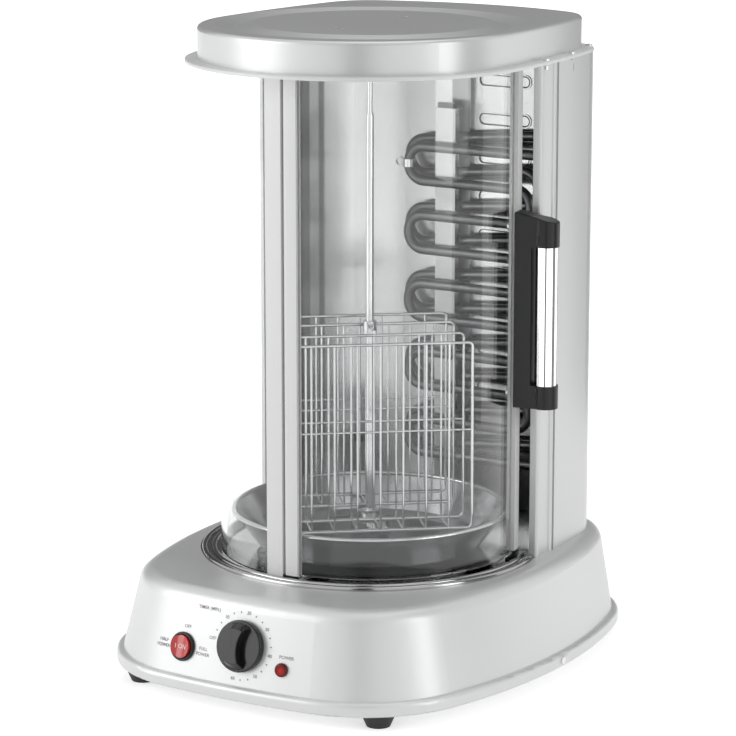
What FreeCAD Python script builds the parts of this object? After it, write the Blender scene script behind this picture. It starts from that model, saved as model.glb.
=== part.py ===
"""Electric vertical skewer grill, built as separate pieces.

Millimetres, +Z up, front towards -Y, +X to the right when facing the front.
The origin lies on the table under the spindle axis.
"""
import FreeCAD, Part
import math
import os

Vector = FreeCAD.Vector
UP = Vector(0, 0, 1)

# ---------------------------------------------------------------- driving dimensions
# Outlines in plan: each is a ring of eight tangent arcs, so it has a front edge, two
# front corners, two sides, two back corners and a back edge.
LIP = dict(front=188.2, back=194.3, half_width=161.7, widest_y=6.0, r_front=628.0,
           r_front_corner=95.0, r_side=425.0, r_back_corner=90.0, r_back=326.0)
BASE_TOP = dict(front=168.8, back=186.7, half_width=142.3, widest_y=8.0, r_front=602.0,
                r_front_corner=77.5, r_side=408.0, r_back_corner=59.0, r_back=306.0)
DRUM = dict(front=128.6, back=165.0, half_width=119.5, widest_y=-5.0, r_front=121.7,
            r_front_corner=108.0, r_side=726.0, r_back_corner=41.2, r_back=235.5)
# The housing has only sides and a back of its own; it is cut off behind the chamber's front.
HOUSING = dict(BASE_TOP, back=172.5, half_width=124.8, widest_y=15.0, r_side=760.0,
               r_back_corner=46.0, r_back=244.0)

# heights
foot_height = 10.2
lip_height = 10.2
base_wall_height = 60.5
bead_height = 3.0
lid_height = 24.0
flange_thickness = 2.5
overall_height = 473.5

# sheet thicknesses and gaps
base_wall = 1.5
housing_wall = 1.2
liner_wall = 0.8
lid_wall = 1.2
floor_thickness = 1.0
running_gap = 0.05
hinge_gap = 0.6
clear_gap = 0.3
screw_gap = 0.15
touch_gap = 0.02
screw_radius = 1.5
head_radius = 2.6
head_height = 1.2
cut_reach = 20.0

# base
wall_inset = 5.0
shoulder_radius = 12.0
tray_thickness = 2.0
lip_band = 9.0
lip_round = 3.5
foot_x = 101.0
foot_y = 153.0
foot_top_radius = 13.0
foot_bottom_radius = 8.5
foot_bore = 4.5
foot_seat = 4.0
tab_half_width = 8.0
tab_thickness = 2.7
tab_bite = 3.6
tab_height = 6.0
tab_lift = 1.0
screw_y = 6.0
vent_slot_x = 70.0
vent_slot_length = 30.0
vent_slot_width = 4.0
vent_slot_pitch = 10.0
vent_slot_count = 6

# floor ring with two beads
floor_radius = 127.0
bead_radii = (116.8, 124.0)
bead_width = 4.4

# glass cylinder
glass_radius = 111.5
glass_thickness = 4.0
glass_insert = 4.0
latch_insert = 2.5
glass_fit = 0.1
side_angle = 105.5
split_angle = -1.7
door_clearance_below = 3.0
door_clearance_above = 1.0
stile_depth = 8.6
stile_proud = 3.0
fixed_stile_width = 13.8
hinge_stile_width = 11.7
latch_stile_width = 10.6
side_stile_width = 10.6
latch_stile_lift = 3.0

# door hinge
hinge_pin_radius = 1.5
hinge_pin_inset = 4.0
hinge_pin_length = 6.5
hinge_pin_ease = 0.5
bush_width = 8.4
bush_depth = 7.6
rest_angle = 103.5
rest_width = 6.8
rest_depth = 8.0

# handle
handle_angle = 100.5
handle_drop = 104.4
handle_length = 144.6
handle_width = 15.0
handle_reach = 21.0
handle_foot_height = 17.0
handle_head_height = 25.4
handle_web = 12.8
handle_cup_wall = 1.0
handle_slope = 13.0
handle_round = 1.2
handle_pad = 1.4
grip_radius = 8.2
grip_wall = 1.2
grip_socket = 6.0
handle_screw_angle = 102.45
handle_screw_radius = 1.5
handle_screw_head = 2.8
handle_screw_depth = 9.0

# housing and front profiles
profile_start = 33.0
profile_length = 28.0
profile_bead = 1.7
bead_round = 2.6
profile_wall = 1.6
vent_louvre_count = 9
vent_louvre_length = 70.0
vent_louvre_height = 4.0
vent_louvre_pitch = 11.0
vent_louvre_drop = 40.0
vent_louvre_depth = 20.0

# liner (reflector)
liner_half_width = 118.0
liner_back = 150.0
liner_corner = 60.0
slot_left = 10.4
slot_length = 41.0
slot_height = 8.2
slot_drop = 29.5
slot_rise = 95.6
slot_count = 9
slot_rim = 1.3
slot_rim_height = 1.0
channel_x = -4.5
channel_width = 17.0

# heaters
tube_radius = 3.9
heater_left = -45.4
heater_span = 80.0
heater_rear_left = -52.5
heater_rear_span = 84.0
heater_rear_slope = 5.0
heater_front_y = 125.5
heater_rear_y = 140.0
heater_drop = 81.2
heater_rise = 42.7
heater_rear_lift = 4.0
heater_legs = 10
front_turn_x = 79.0
front_turn = 8.0
rear_turn_x = 66.0
rear_turn = 6.0
terminal_radius = 6.5
terminal_bite = 1.5
terminal_end = 152.0
lead_end = 155.5
bracket_x = -10.5
bracket_width = 18.0
bracket_thickness = 1.2
bracket_drop = 51.0
limiter_size = (14.0, 5.0, 4.0)
clip_width = 6.0
clip_wall = 0.9
clip_gap = 0.55
eyelet_radius = 4.2

# drip pan
pan_rim_radius = 102.4
pan_rim_rise = 30.1
pan_bottom_radius = 77.0
pan_wall = 1.0
pan_rim_bead = 1.8
pan_rest_height = 1.6
pan_rest_radius = 4.0
pan_rest_reach = 60.0
pan_collar_radius = 14.0
pan_collar_height = 18.0

# rotor
rotor_angle = 39.5
shaft_radius = 4.0
socket_radius = 8.0
socket_rise = 7.0
socket_length = 14.1
socket_shaft_depth = 4.0
spit_radius = 2.8
spit_pin_radius = 1.85
spit_pin_length = 39.7
bearing_radius = 7.0
bearing_flange_radius = 11.0
bearing_length = 8.0
basket_rise = 4.3
basket_height = 139.0
basket_middle_rise = 74.2
basket_half_length = 67.0
basket_corner = 3.5
basket_inner = 21.0
basket_outer = 56.0
basket_columns = 7
wire_radius = 0.8
frame_wire_radius = 1.1
carrier_thickness = 2.0
carrier_width = 14.0
carrier_hub_radius = 7.0
top_hub_radius = 5.0
top_hub_length = 9.0
top_bar_radius = 1.2

# drive under the floor
motor_radius = 26.0
motor_length = 20.0
motor_drop = 12.2
motor_ear = 8.0
floor_bush_radius = 8.0
floor_bush_flange = 11.0
floor_bush_drop = 5.0
spacer_radius = 4.0

# lid
lid_round = 3.0
dish_centre_y = 3.0
dish_outer_radius = 114.8
dish_inner_radius = 86.8
dish_depth = 3.2
lid_bolt_y = 45.0
lid_bolt_head = 3.0
lid_bolt_sink = 1.2
flange_overhang = 9.3
flange_screw_offset = 6.2
flange_screw_y = (40.0, 87.0, 140.0)
ear_width = 10.0
ear_thickness = 1.2

# controls on the sloping front wall: place along X and height of each centre
knob_place = (2.2, 48.1)
rocker_place = (-48.4, 39.9)
lamp_place = (36.8, 36.5)
knob_radius = 18.6
knob_skirt = 4.6
knob_height = 11.2
knob_ledge = 1.8
knob_crown_radius = 12.5
knob_waist = 5.2
knob_scoop_radius = 24.6
knob_edge = 0.6
knob_cover = 1.0
rim_seat = 0.05
case_setback = 2.1
knob_lift = 0.6
knob_rest_turn = -3.0
timer_shaft_radius = 3.0
timer_hole_ease = 1.0
timer_body_size = (38.0, 38.0, 20.0)
bezel_radius = 10.5
bezel_rim = 2.2
bezel_barrel = 10.0
bezel_depth = 16.0
rocker_radius = 8.2
rocker_thickness = 6.0
rocker_gap = 0.7
rocker_pivot = -1.0
rocker_dish = 20.0
rocker_dip = 1.8
rocker_pin_radius = 1.0
lamp_radius = 5.0
lamp_barrel = 4.0
lamp_dome = 2.6

# cord inlet and junction in the base
gland_x = 0.0
gland_rise = 24.6
gland_radius = 9.0
gland_bore = 3.5
gland_collar = 2.0
junction_size = (40.0, 18.0, 14.0)
junction_x = -62.0
junction_y = 128.0

# ---------------------------------------------------------------- derived heights
lip_bottom = foot_height
lip_top = lip_bottom + lip_height
base_top = lip_top + base_wall_height
floor_top = base_top + floor_thickness
lid_bottom = overall_height - lid_height
flange_bottom = lid_bottom - flange_thickness
door_bottom = floor_top + door_clearance_below
door_top = flange_bottom - door_clearance_above
stile_outer = glass_radius + stile_proud
stile_inner = stile_outer - stile_depth
pan_low = floor_top + pan_rest_height
pan_rim_height = floor_top + pan_rim_rise
socket_low = floor_top + socket_rise
socket_high = socket_low + socket_length
spit_shoulder = flange_bottom - spit_pin_length
basket_low = socket_high + basket_rise
basket_high = basket_low + basket_height
basket_middle = basket_low + basket_middle_rise
handle_high = flange_bottom - handle_drop
handle_low = handle_high - handle_length
vent_louvre_top = flange_bottom - vent_louvre_drop
slot_top = flange_bottom - slot_drop
slot_pitch = (slot_top - floor_top - slot_rise) / (slot_count - 1)
heater_top = flange_bottom - heater_drop
heater_pitch = (heater_top - floor_top - heater_rise) / (heater_legs - 1)
bracket_top = flange_bottom - bracket_drop
motor_top = base_top - motor_drop
gland_z = lip_top + gland_rise
far = 2 * overall_height


# ---------------------------------------------------------------- shape helpers
def polar(radius, angle):
    """Point in plan at an angle from the front (-Y), positive towards +X."""
    a = math.radians(angle)
    return Vector(radius * math.sin(a), -radius * math.cos(a), 0)


def lifted(point, z):
    return Vector(point.x, point.y, z)


def circle_crossing(centre_a, radius_a, centre_b, radius_b, towards):
    """The crossing of two circles in plan that lies furthest along a direction."""
    span = centre_b - centre_a
    distance = span.Length
    along = (radius_a ** 2 - radius_b ** 2 + distance ** 2) / (2 * distance)
    height = math.sqrt(max(radius_a ** 2 - along ** 2, 0.0))
    unit = span * (1 / distance)
    normal = Vector(-unit.y, unit.x, 0)
    middle = centre_a + unit * along
    crossings = [middle + normal * height, middle - normal * height]
    return max(crossings, key=lambda p: p.dot(towards))


def outline_arcs(outline):
    """Centres, radii and end angles of the arcs from the front round the right side."""
    front = Vector(0, -outline["front"] + outline["r_front"], 0)
    side = Vector(outline["half_width"] - outline["r_side"], outline["widest_y"], 0)
    back = Vector(0, outline["back"] - outline["r_back"], 0)
    r_fc = outline["r_front_corner"]
    r_bc = outline["r_back_corner"]
    front_corner = circle_crossing(front, outline["r_front"] - r_fc,
                                   side, outline["r_side"] - r_fc, Vector(1, -1, 0))
    back_corner = circle_crossing(back, outline["r_back"] - r_bc,
                                  side, outline["r_side"] - r_bc, Vector(1, 1, 0))

    def heading(centre, towards):
        return math.degrees(math.atan2(towards.y - centre.y, towards.x - centre.x))

    turn = [-90.0, heading(front, front_corner), heading(side, front_corner),
            heading(side, back_corner), heading(back, back_corner), 90.0]
    centres = [front, front_corner, side, back_corner, back]
    radii = [outline["r_front"], r_fc, outline["r_side"], r_bc, outline["r_back"]]
    return list(zip(centres, radii, turn[:-1], turn[1:]))


def outline_wire(outline, grow, z):
    """Closed outline, grown outwards by an amount, at a height."""
    right = outline_arcs(outline)

    def point(centre, radius, angle, mirror):
        a = math.radians(angle)
        x = centre.x + (radius + grow) * math.cos(a)
        return Vector(-x if mirror else x, centre.y + (radius + grow) * math.sin(a), z)

    edges = []
    centre, radius, start, end = right[0]
    edges.append(Part.Arc(point(centre, radius, end, True), point(centre, radius, start, False),
                          point(centre, radius, end, False)).toShape())
    for centre, radius, start, end in right[1:-1]:
        middle = (start + end) / 2
        edges.append(Part.Arc(point(centre, radius, start, False), point(centre, radius, middle, False),
                              point(centre, radius, end, False)).toShape())
    centre, radius, start, end = right[-1]
    edges.append(Part.Arc(point(centre, radius, start, False), point(centre, radius, end, False),
                          point(centre, radius, start, True)).toShape())
    for centre, radius, start, end in reversed(right[1:-1]):
        middle = (start + end) / 2
        edges.append(Part.Arc(point(centre, radius, end, True), point(centre, radius, middle, True),
                              point(centre, radius, start, True)).toShape())
    return Part.Wire(edges)


def outline_x(outline, y, grow=0.0):
    """Half width of an outline at a place along Y, on its side or its back corners."""
    for centre, radius, _, end in outline_arcs(outline)[2:4]:
        reach = radius + grow
        if y <= centre.y + reach * math.sin(math.radians(end)):
            return centre.x + math.sqrt(reach ** 2 - (y - centre.y) ** 2)
    raise ValueError("no side at this place")


def outline_slab(outline, grow, low, high):
    return Part.Face(outline_wire(outline, grow, low)).extrude(UP * (high - low))


def box(x0, x1, y0, y1, z0, z1):
    return Part.makeBox(x1 - x0, y1 - y0, z1 - z0, Vector(x0, y0, z0))


def rod(start, end, radius):
    return Part.makeCylinder(radius, (end - start).Length, start, end - start)


def upright(x, y, low, high, radius):
    return Part.makeCylinder(radius, high - low, Vector(x, y, low))


def tube(x, y, low, high, outer, inner):
    return upright(x, y, low, high, outer).cut(upright(x, y, low, high, inner))


def revolve(points, x=0.0, y=0.0):
    """Solid of revolution about a vertical axis from (radius, height) points."""
    loop = [Vector(x + r, y, z) for r, z in points]
    face = Part.Face(Part.makePolygon(loop + loop[:1]))
    return face.revolve(Vector(x, y, 0), UP, 360)


def sector(inner, outer, start, end, low, high):
    """Block between two radii and two angles from the front."""
    middle = (start + end) / 2
    edges = [Part.LineSegment(polar(inner, start), polar(outer, start)).toShape(),
             Part.Arc(polar(outer, start), polar(outer, middle), polar(outer, end)).toShape(),
             Part.LineSegment(polar(outer, end), polar(inner, end)).toShape(),
             Part.Arc(polar(inner, end), polar(inner, middle), polar(inner, start)).toShape()]
    face = Part.Face(Part.Wire(edges))
    face.translate(UP * low)
    return face.extrude(UP * (high - low))


def slot_plate(length, height, thickness, centre, normal):
    """Rounded slot, long side level, pushed along a normal in plan from its centre."""
    half = (length - height) / 2
    along = Vector(-normal.y, normal.x, 0)
    start = centre - normal * (thickness / 2)
    first = Part.makeCylinder(height / 2, thickness, start - along * half, normal)
    second = Part.makeCylinder(height / 2, thickness, start + along * half, normal)
    middle = Part.makeBox(2 * half, thickness, height)
    middle.translate(Vector(-half, -thickness / 2, -height / 2))
    middle.rotate(Vector(0, 0, 0), UP, math.degrees(math.atan2(along.y, along.x)))
    middle.translate(centre)
    return first.fuse([second, middle]).removeSplitter()


def mirrored(shape):
    return shape.mirror(Vector(0, 0, 0), Vector(1, 0, 0))


def united(shapes):
    return shapes[0].fuse(shapes[1:]).removeSplitter() if len(shapes) > 1 else shapes[0]


def edges_where(shape, test):
    return [edge for edge in shape.Edges if test(edge)]


def is_upright(edge):
    ends = [v.Point for v in edge.Vertexes]
    return len(ends) == 2 and (ends[0] - ends[1]).cross(UP).Length < 1e-6


def level_at(edge, z):
    bounds = edge.BoundBox
    return abs(bounds.ZMin - z) < 1e-4 and abs(bounds.ZMax - z) < 1e-4


# ---------------------------------------------------------------- base
def base_form(inset):
    """The base's sloping wall and rounded shoulder as a solid, inset by a wall."""
    low = outline_wire(LIP, -wall_inset - inset, lip_top)
    high = outline_wire(BASE_TOP, -inset, base_top - inset)
    form = Part.makeLoft([low, high], True, True)
    shoulder = edges_where(form, lambda e: level_at(e, base_top - inset))
    return form.makeFillet(shoulder_radius - inset, shoulder)


def wall_frame(place):
    """Placement on the front wall: local Z points outwards, local Y up the wall."""
    x, z = place
    share = (z - lip_top) / base_wall_height
    front = (LIP["front"] - wall_inset) * (1 - share) + BASE_TOP["front"] * share
    radius = (LIP["r_front"] - wall_inset) * (1 - share) + BASE_TOP["r_front"] * share
    y = radius - front - math.sqrt(radius ** 2 - x ** 2)
    slope = math.atan2(LIP["front"] - wall_inset - BASE_TOP["front"], base_wall_height)
    turn = FreeCAD.Rotation(UP, math.degrees(math.asin(x / radius)))
    tilt = FreeCAD.Rotation(Vector(1, 0, 0), 90 - math.degrees(slope))
    return FreeCAD.Placement(Vector(x, y, z), turn.multiply(tilt))


def on_wall(shape, place):
    shape.Placement = wall_frame(place).multiply(shape.Placement)
    return shape


def local_rod(radius, start, end):
    return Part.makeCylinder(radius, end - start, Vector(0, 0, start))


def base_shell():
    shell = base_form(0.0).cut(base_form(base_wall))
    shell = shell.fuse(shell_tabs()).removeSplitter()
    holes = [on_wall(local_rod(timer_shaft_radius + timer_hole_ease, -cut_reach, cut_reach), knob_place),
             on_wall(local_rod(bezel_barrel + screw_gap, -cut_reach, cut_reach), rocker_place),
             on_wall(local_rod(lamp_barrel + screw_gap, -cut_reach, cut_reach), lamp_place)]
    gland_hole = Vector(gland_x, BASE_TOP["back"] - cut_reach, gland_z)
    holes.append(Part.makeCylinder(gland_radius - gland_collar + screw_gap, 3 * cut_reach, gland_hole,
                                   Vector(0, 1, 0)))
    hinge = hinge_axis()
    drops = [(0.0, 0.0, floor_bush_radius + screw_gap),
             (hinge.x, hinge.y, hinge_pin_radius + hinge_pin_ease)]
    drops += [(x, y, screw_radius + screw_gap) for x, y in motor_screw_places()]
    for x, y, radius in drops:
        holes.append(upright(x, y, base_top - 3 * base_wall, base_top + base_wall, radius))
    for x, y, direction in tray_screw_places():
        start = Vector(x, y, lip_bottom + lip_height / 2)
        holes.append(Part.makeCylinder(screw_radius, 2 * lip_band, start, direction * -1))
    return shell.cut(holes)


def shell_tabs():
    """Tabs inside the wall's foot that drop behind the tray's lip and take its screws."""
    tabs = []
    for x, y, direction in tray_screw_places():
        face = Vector(x, y, 0) - direction * (lip_band + clear_gap)
        across = Vector(-direction.y, direction.x, 0) * tab_half_width
        for low, high, outer in ((lip_bottom + tray_thickness + tab_lift, lip_top, 0.0),
                                 (lip_top, lip_top + tab_height, tab_bite)):
            start = face + direction * outer
            end = face - direction * tab_thickness
            xs = [p.x for p in (start + across, start - across, end + across, end - across)]
            ys = [p.y for p in (start + across, start - across, end + across, end - across)]
            tabs.append(box(min(xs), max(xs), min(ys), max(ys), low, high))
            if outer:
                tabs[-1] = tabs[-1].common(base_form(base_wall / 2))
    return tabs


def motor_screw_places():
    reach = motor_radius + motor_ear / 2
    return [(-reach, 0.0), (reach, 0.0)]


def base_tray():
    plate = outline_slab(LIP, 0.0, lip_bottom, lip_top)
    rim = edges_where(plate, lambda e: level_at(e, lip_top))
    plate = plate.makeFillet(lip_round, rim)
    sole = edges_where(plate, lambda e: level_at(e, lip_bottom))
    plate = plate.makeFillet(lip_round / 2, sole)
    tray = plate.cut(outline_slab(LIP, -lip_band, lip_bottom + tray_thickness, lip_top + 1))
    cuts = []
    for x, y in foot_places():
        cuts.append(upright(x, y, lip_bottom - 1, lip_top, screw_radius + screw_gap))
    for side in (-1, 1):
        for i in range(vent_slot_count):
            y = (i - (vent_slot_count - 1) / 2) * vent_slot_pitch
            x = side * vent_slot_x
            cuts.append(box(x - vent_slot_length / 2, x + vent_slot_length / 2,
                            y - vent_slot_width / 2, y + vent_slot_width / 2, lip_bottom - 1, lip_top))
    for x, y, direction in tray_screw_places():
        start = Vector(x, y, lip_bottom + lip_height / 2) + direction * lip_band / 2
        cuts.append(Part.makeCylinder(screw_radius + screw_gap, 2 * lip_band, start, direction * -1))
    return tray.cut(cuts)


def foot_places():
    return [(sx * foot_x, sy * foot_y) for sy in (-1, 1) for sx in (-1, 1)]


def tray_screw_places():
    side_x = outline_x(LIP, screw_y)
    return [(side_x, screw_y, Vector(1, 0, 0)), (-side_x, screw_y, Vector(-1, 0, 0)),
            (0.0, LIP["back"], Vector(0, 1, 0))]


def feet():
    hole = screw_radius + screw_gap
    profile = [(foot_bore, 0), (foot_bottom_radius, 0), (foot_top_radius, foot_height),
               (hole, foot_height), (hole, foot_seat), (foot_bore, foot_seat)]
    return Part.makeCompound([revolve(profile, x, y) for x, y in foot_places()])


def foot_screws():
    screws = []
    for x, y in foot_places():
        head = upright(x, y, foot_seat - 2.0, foot_seat, foot_bore - 1.0)
        shank = upright(x, y, foot_seat, lip_bottom + tray_thickness + 3.0, screw_radius)
        screws.append(head.fuse(shank).removeSplitter())
    return Part.makeCompound(screws)


def tray_screws():
    screws = []
    for x, y, direction in tray_screw_places():
        face = Vector(x, y, lip_bottom + lip_height / 2)
        head = Part.makeCylinder(head_radius, head_height, face, direction)
        shank = Part.makeCylinder(screw_radius, lip_band + 2.0, face, direction * -1)
        screws.append(head.fuse(shank).removeSplitter())
    return Part.makeCompound(screws)


def chamber_region(inset, low, high):
    """Plan of the chamber behind the front profiles, inside the liner."""
    half = liner_half_width - inset
    back = liner_back - inset
    corner = liner_corner - inset
    bend = corner * (1 - math.sqrt(0.5))
    points = [Vector(-half, profile_start, low), Vector(half, profile_start, low),
              Vector(half, back - corner, low), Vector(half - corner, back, low),
              Vector(-half + corner, back, low), Vector(-half, back - corner, low)]
    edges = [Part.LineSegment(points[0], points[1]).toShape(),
             Part.LineSegment(points[1], points[2]).toShape(),
             Part.Arc(points[2], Vector(half - bend, back - bend, low), points[3]).toShape(),
             Part.LineSegment(points[3], points[4]).toShape(),
             Part.Arc(points[4], Vector(-half + bend, back - bend, low), points[5]).toShape(),
             Part.LineSegment(points[5], points[0]).toShape()]
    return Part.Face(Part.Wire(edges)).extrude(UP * (high - low))


def floor_pan():
    disc = upright(0, 0, base_top, floor_top, floor_radius)
    beads = []
    for radius in bead_radii:
        half = bead_width / 2
        arc = Part.Arc(Vector(radius - half, 0, floor_top), Vector(radius, 0, base_top + bead_height),
                       Vector(radius + half, 0, floor_top)).toShape()
        foot_line = [Part.LineSegment(Vector(radius + half, 0, floor_top), Vector(radius + half, 0, base_top)),
                     Part.LineSegment(Vector(radius + half, 0, base_top), Vector(radius - half, 0, base_top)),
                     Part.LineSegment(Vector(radius - half, 0, base_top), Vector(radius - half, 0, floor_top))]
        face = Part.Face(Part.Wire([arc] + [line.toShape() for line in foot_line]))
        beads.append(face.revolve(Vector(0, 0, 0), UP, 360))
    front = disc.fuse(beads).removeSplitter().cut(box(-far, far, profile_start, far, 0, far))
    rear = chamber_region(liner_wall + screw_gap, base_top, floor_top)
    rests = [upright(p.x, p.y, base_top, pan_low, pan_rest_radius)
             for p in (polar(pan_rest_reach, angle) for angle in (30, 150, 210, 330))]
    pan = front.fuse([rear] + rests).removeSplitter()
    hinge = hinge_axis()
    return pan.cut([upright(0, 0, base_top - 1, floor_top + 1, floor_bush_radius + screw_gap),
                    upright(hinge.x, hinge.y, base_top - 1, floor_top + 1, hinge_pin_radius + hinge_pin_ease)]
                   + [upright(x, y, base_top - 1, floor_top + 1, screw_radius + screw_gap)
                      for x, y in motor_screw_places()])


# ---------------------------------------------------------------- glass, stiles and door
def angle_of(width, radius=glass_radius):
    return math.degrees(width / radius)


half_gap_angle = angle_of(hinge_gap / 2)
hinge_start = split_angle + half_gap_angle
hinge_end = hinge_start + angle_of(hinge_stile_width)
fixed_end = split_angle - half_gap_angle
fixed_start = fixed_end - angle_of(fixed_stile_width)
latch_start = side_angle - angle_of(latch_stile_width)
side_end = -side_angle + angle_of(side_stile_width)
insert_angle = angle_of(glass_insert)
glass_inner = glass_radius - glass_thickness


def hinge_axis():
    """Door hinge axis in plan: near the outer left edge of the hinge stile."""
    return polar(stile_outer - hinge_pin_inset, hinge_start + angle_of(hinge_pin_inset, stile_outer))


def glass_slot(start, end):
    return sector(glass_inner - glass_fit, glass_radius + glass_fit, start, end, 0, overall_height)


def glass_fixed():
    return sector(glass_inner, glass_radius, side_end - insert_angle, fixed_start + insert_angle,
                  floor_top, flange_bottom)


def glass_door():
    return sector(glass_inner, glass_radius, hinge_end - insert_angle,
                  latch_start + angle_of(latch_insert), door_bottom, door_top)


def fixed_front_stile():
    stile = sector(stile_inner, stile_outer, fixed_start, fixed_end, floor_top, flange_bottom)
    return stile.cut(glass_slot(fixed_start - 5, fixed_start + insert_angle))


def fixed_side_stile():
    stile = sector(stile_inner, stile_outer, -side_angle, side_end, floor_top, flange_bottom)
    return stile.cut(glass_slot(side_end - insert_angle, side_end + 5))


def door_hinge_stile():
    stile = sector(stile_inner, stile_outer, hinge_start, hinge_end, door_bottom, door_top)
    corner = polar(stile_outer, hinge_start)
    nose = edges_where(stile, lambda e: is_upright(e) and
                       (lifted(e.Vertexes[0].Point, 0) - corner).Length < 1e-3)
    stile = stile.makeFillet(hinge_pin_inset - 0.05, nose)
    stile = stile.cut(glass_slot(hinge_end - insert_angle, hinge_end + 5))
    axis = hinge_axis()
    bore = hinge_pin_length + 0.01
    sockets = [upright(axis.x, axis.y, door_bottom - 1, door_bottom + bore, hinge_pin_radius),
               upright(axis.x, axis.y, door_top - bore, door_top + 1, hinge_pin_radius)]
    return stile.cut(sockets)


def door_latch_stile():
    stile = sector(stile_inner, stile_outer, latch_start, side_angle,
                   door_bottom + latch_stile_lift, door_top)
    stile = stile.cut(glass_slot(latch_start - 5, latch_start + angle_of(latch_insert)))
    holes = [rod(screw_point(stile_inner - 5, z), screw_point(stile_outer + 5, z),
                 handle_screw_radius + screw_gap) for z in handle_screw_heights()]
    return stile.cut(holes)


def hinge_pins():
    axis = hinge_axis()
    bush_reach = door_bottom - floor_top
    low = upright(axis.x, axis.y, door_bottom - bush_reach - 3.0, door_bottom + hinge_pin_length,
                  hinge_pin_radius)
    high = upright(axis.x, axis.y, door_top - hinge_pin_length, flange_bottom + flange_thickness - 0.4,
                   hinge_pin_radius)
    return Part.makeCompound([low, high])


def hinge_bushes():
    """Two plastic blocks that carry the hinge pins: one on the floor, one under the flange."""
    axis = hinge_axis()
    turn = math.degrees(math.atan2(axis.x, -axis.y))
    bushes = []
    for low, high in ((floor_top, door_bottom - clear_gap), (door_top + clear_gap, flange_bottom)):
        block = Part.makeBox(bush_width, bush_depth, high - low)
        block.translate(Vector(-bush_width / 2, -bush_depth / 2, low))
        block.rotate(Vector(0, 0, 0), UP, turn)
        block.translate(axis)
        bushes.append(block.cut(upright(axis.x, axis.y, low - 1, high + 1, hinge_pin_radius + running_gap)))
    return Part.makeCompound(bushes)


def door_rest():
    """Plastic block on the floor under the latch stile, which carries the door's free end."""
    low, high = floor_top, door_bottom + latch_stile_lift - clear_gap
    half = angle_of(rest_width / 2)
    inner = (stile_inner + stile_outer) / 2 - rest_depth / 2
    return sector(inner, inner + rest_depth, rest_angle - half, rest_angle + half, low, high)


# ---------------------------------------------------------------- door handle
def handle_point(radius, z):
    return lifted(polar(radius, handle_angle), z)


def screw_point(radius, z):
    return lifted(polar(radius, handle_screw_angle), z)


def handle_screw_heights():
    return (handle_low + handle_foot_height / 2, handle_high - handle_head_height / 2)


def grip_centre_radius():
    return stile_outer + handle_reach + handle_pad


def handle_block(inner, outer, width, low, high):
    block = Part.makeBox(width, outer - inner, high - low)
    block.translate(Vector(-width / 2, -outer, low))
    block.rotate(Vector(0, 0, 0), UP, handle_angle)
    return block


def handle_body():
    """Black moulding: a web on the stile and an end block at each end, rounded about the grip."""
    inner = stile_outer
    grip = grip_centre_radius()
    cup_radius = grip_radius + handle_cup_wall
    centre = polar(grip, handle_angle)
    head_low = handle_high - handle_head_height
    foot_high = handle_low + handle_foot_height
    web = handle_block(inner, inner + handle_web, handle_width, handle_low, handle_high)
    parts = [web]
    for low, high in ((handle_low, foot_high), (head_low, handle_high)):
        parts.append(handle_block(inner, grip, handle_width, low, high))
        parts.append(upright(centre.x, centre.y, low, high, cup_radius))
    body = united(parts)
    slope = handle_block(inner, grip + 2 * cup_radius, 3 * handle_width, handle_high,
                         handle_high + handle_head_height)
    slope.rotate(handle_point(inner, handle_high), polar(1, handle_angle + 90), handle_slope)
    body = body.cut(slope)
    crown = edges_where(body, lambda e: not is_upright(e) and e.BoundBox.ZMin > head_low + touch_gap)
    body = body.makeFillet(handle_round, crown)
    bores = []
    for z in handle_screw_heights():
        bores.append(rod(screw_point(inner - 1, z), screw_point(inner + handle_screw_depth, z),
                         handle_screw_radius))
    bores.append(upright(centre.x, centre.y, foot_high - grip_socket, head_low + grip_socket, grip_radius))
    return body.cut(bores)


def handle_grip():
    centre = polar(grip_centre_radius(), handle_angle)
    return tube(centre.x, centre.y, handle_low + handle_foot_height - grip_socket,
                handle_high - handle_head_height + grip_socket, grip_radius, grip_radius - grip_wall)


def handle_screws():
    screws = []
    for z in handle_screw_heights():
        seat = stile_inner - running_gap
        head = rod(screw_point(seat - 1.6, z), screw_point(seat, z), handle_screw_head)
        shank = rod(screw_point(seat, z), screw_point(stile_outer + handle_screw_depth, z), handle_screw_radius)
        screws.append(head.fuse(shank).removeSplitter())
    return Part.makeCompound(screws)


# ---------------------------------------------------------------- rear housing and profiles
def outline_ring(outline, outer, inner, y0, y1, low, high):
    """Upright strip that follows an outline between two offsets and two places along Y."""
    ring = outline_slab(outline, outer, low, high).cut(outline_slab(outline, inner, low - 1, high + 1))
    return ring.common(box(-far, far, y0, y1, low, high))


def rear_housing():
    shell = outline_ring(HOUSING, 0.0, -housing_wall, profile_start + profile_length, far,
                         base_top, flange_bottom)
    louvres = []
    for i in range(vent_louvre_count):
        z = vent_louvre_top - i * vent_louvre_pitch
        louvres.append(slot_plate(vent_louvre_length, vent_louvre_height, vent_louvre_depth,
                                  Vector(0, HOUSING["back"], z), Vector(0, 1, 0)))
        louvres.append(slot_plate(vent_louvre_length, vent_louvre_height, vent_louvre_depth,
                                  Vector(0, HOUSING["back"], base_top + overall_height - z),
                                  Vector(0, 1, 0)))
    ears = [top_ear(y, side) for y in flange_screw_y[1:] for side in (-1, 1)]
    return shell.fuse(ears).removeSplitter().cut(louvres + flange_screw_holes(screw_radius))


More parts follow.
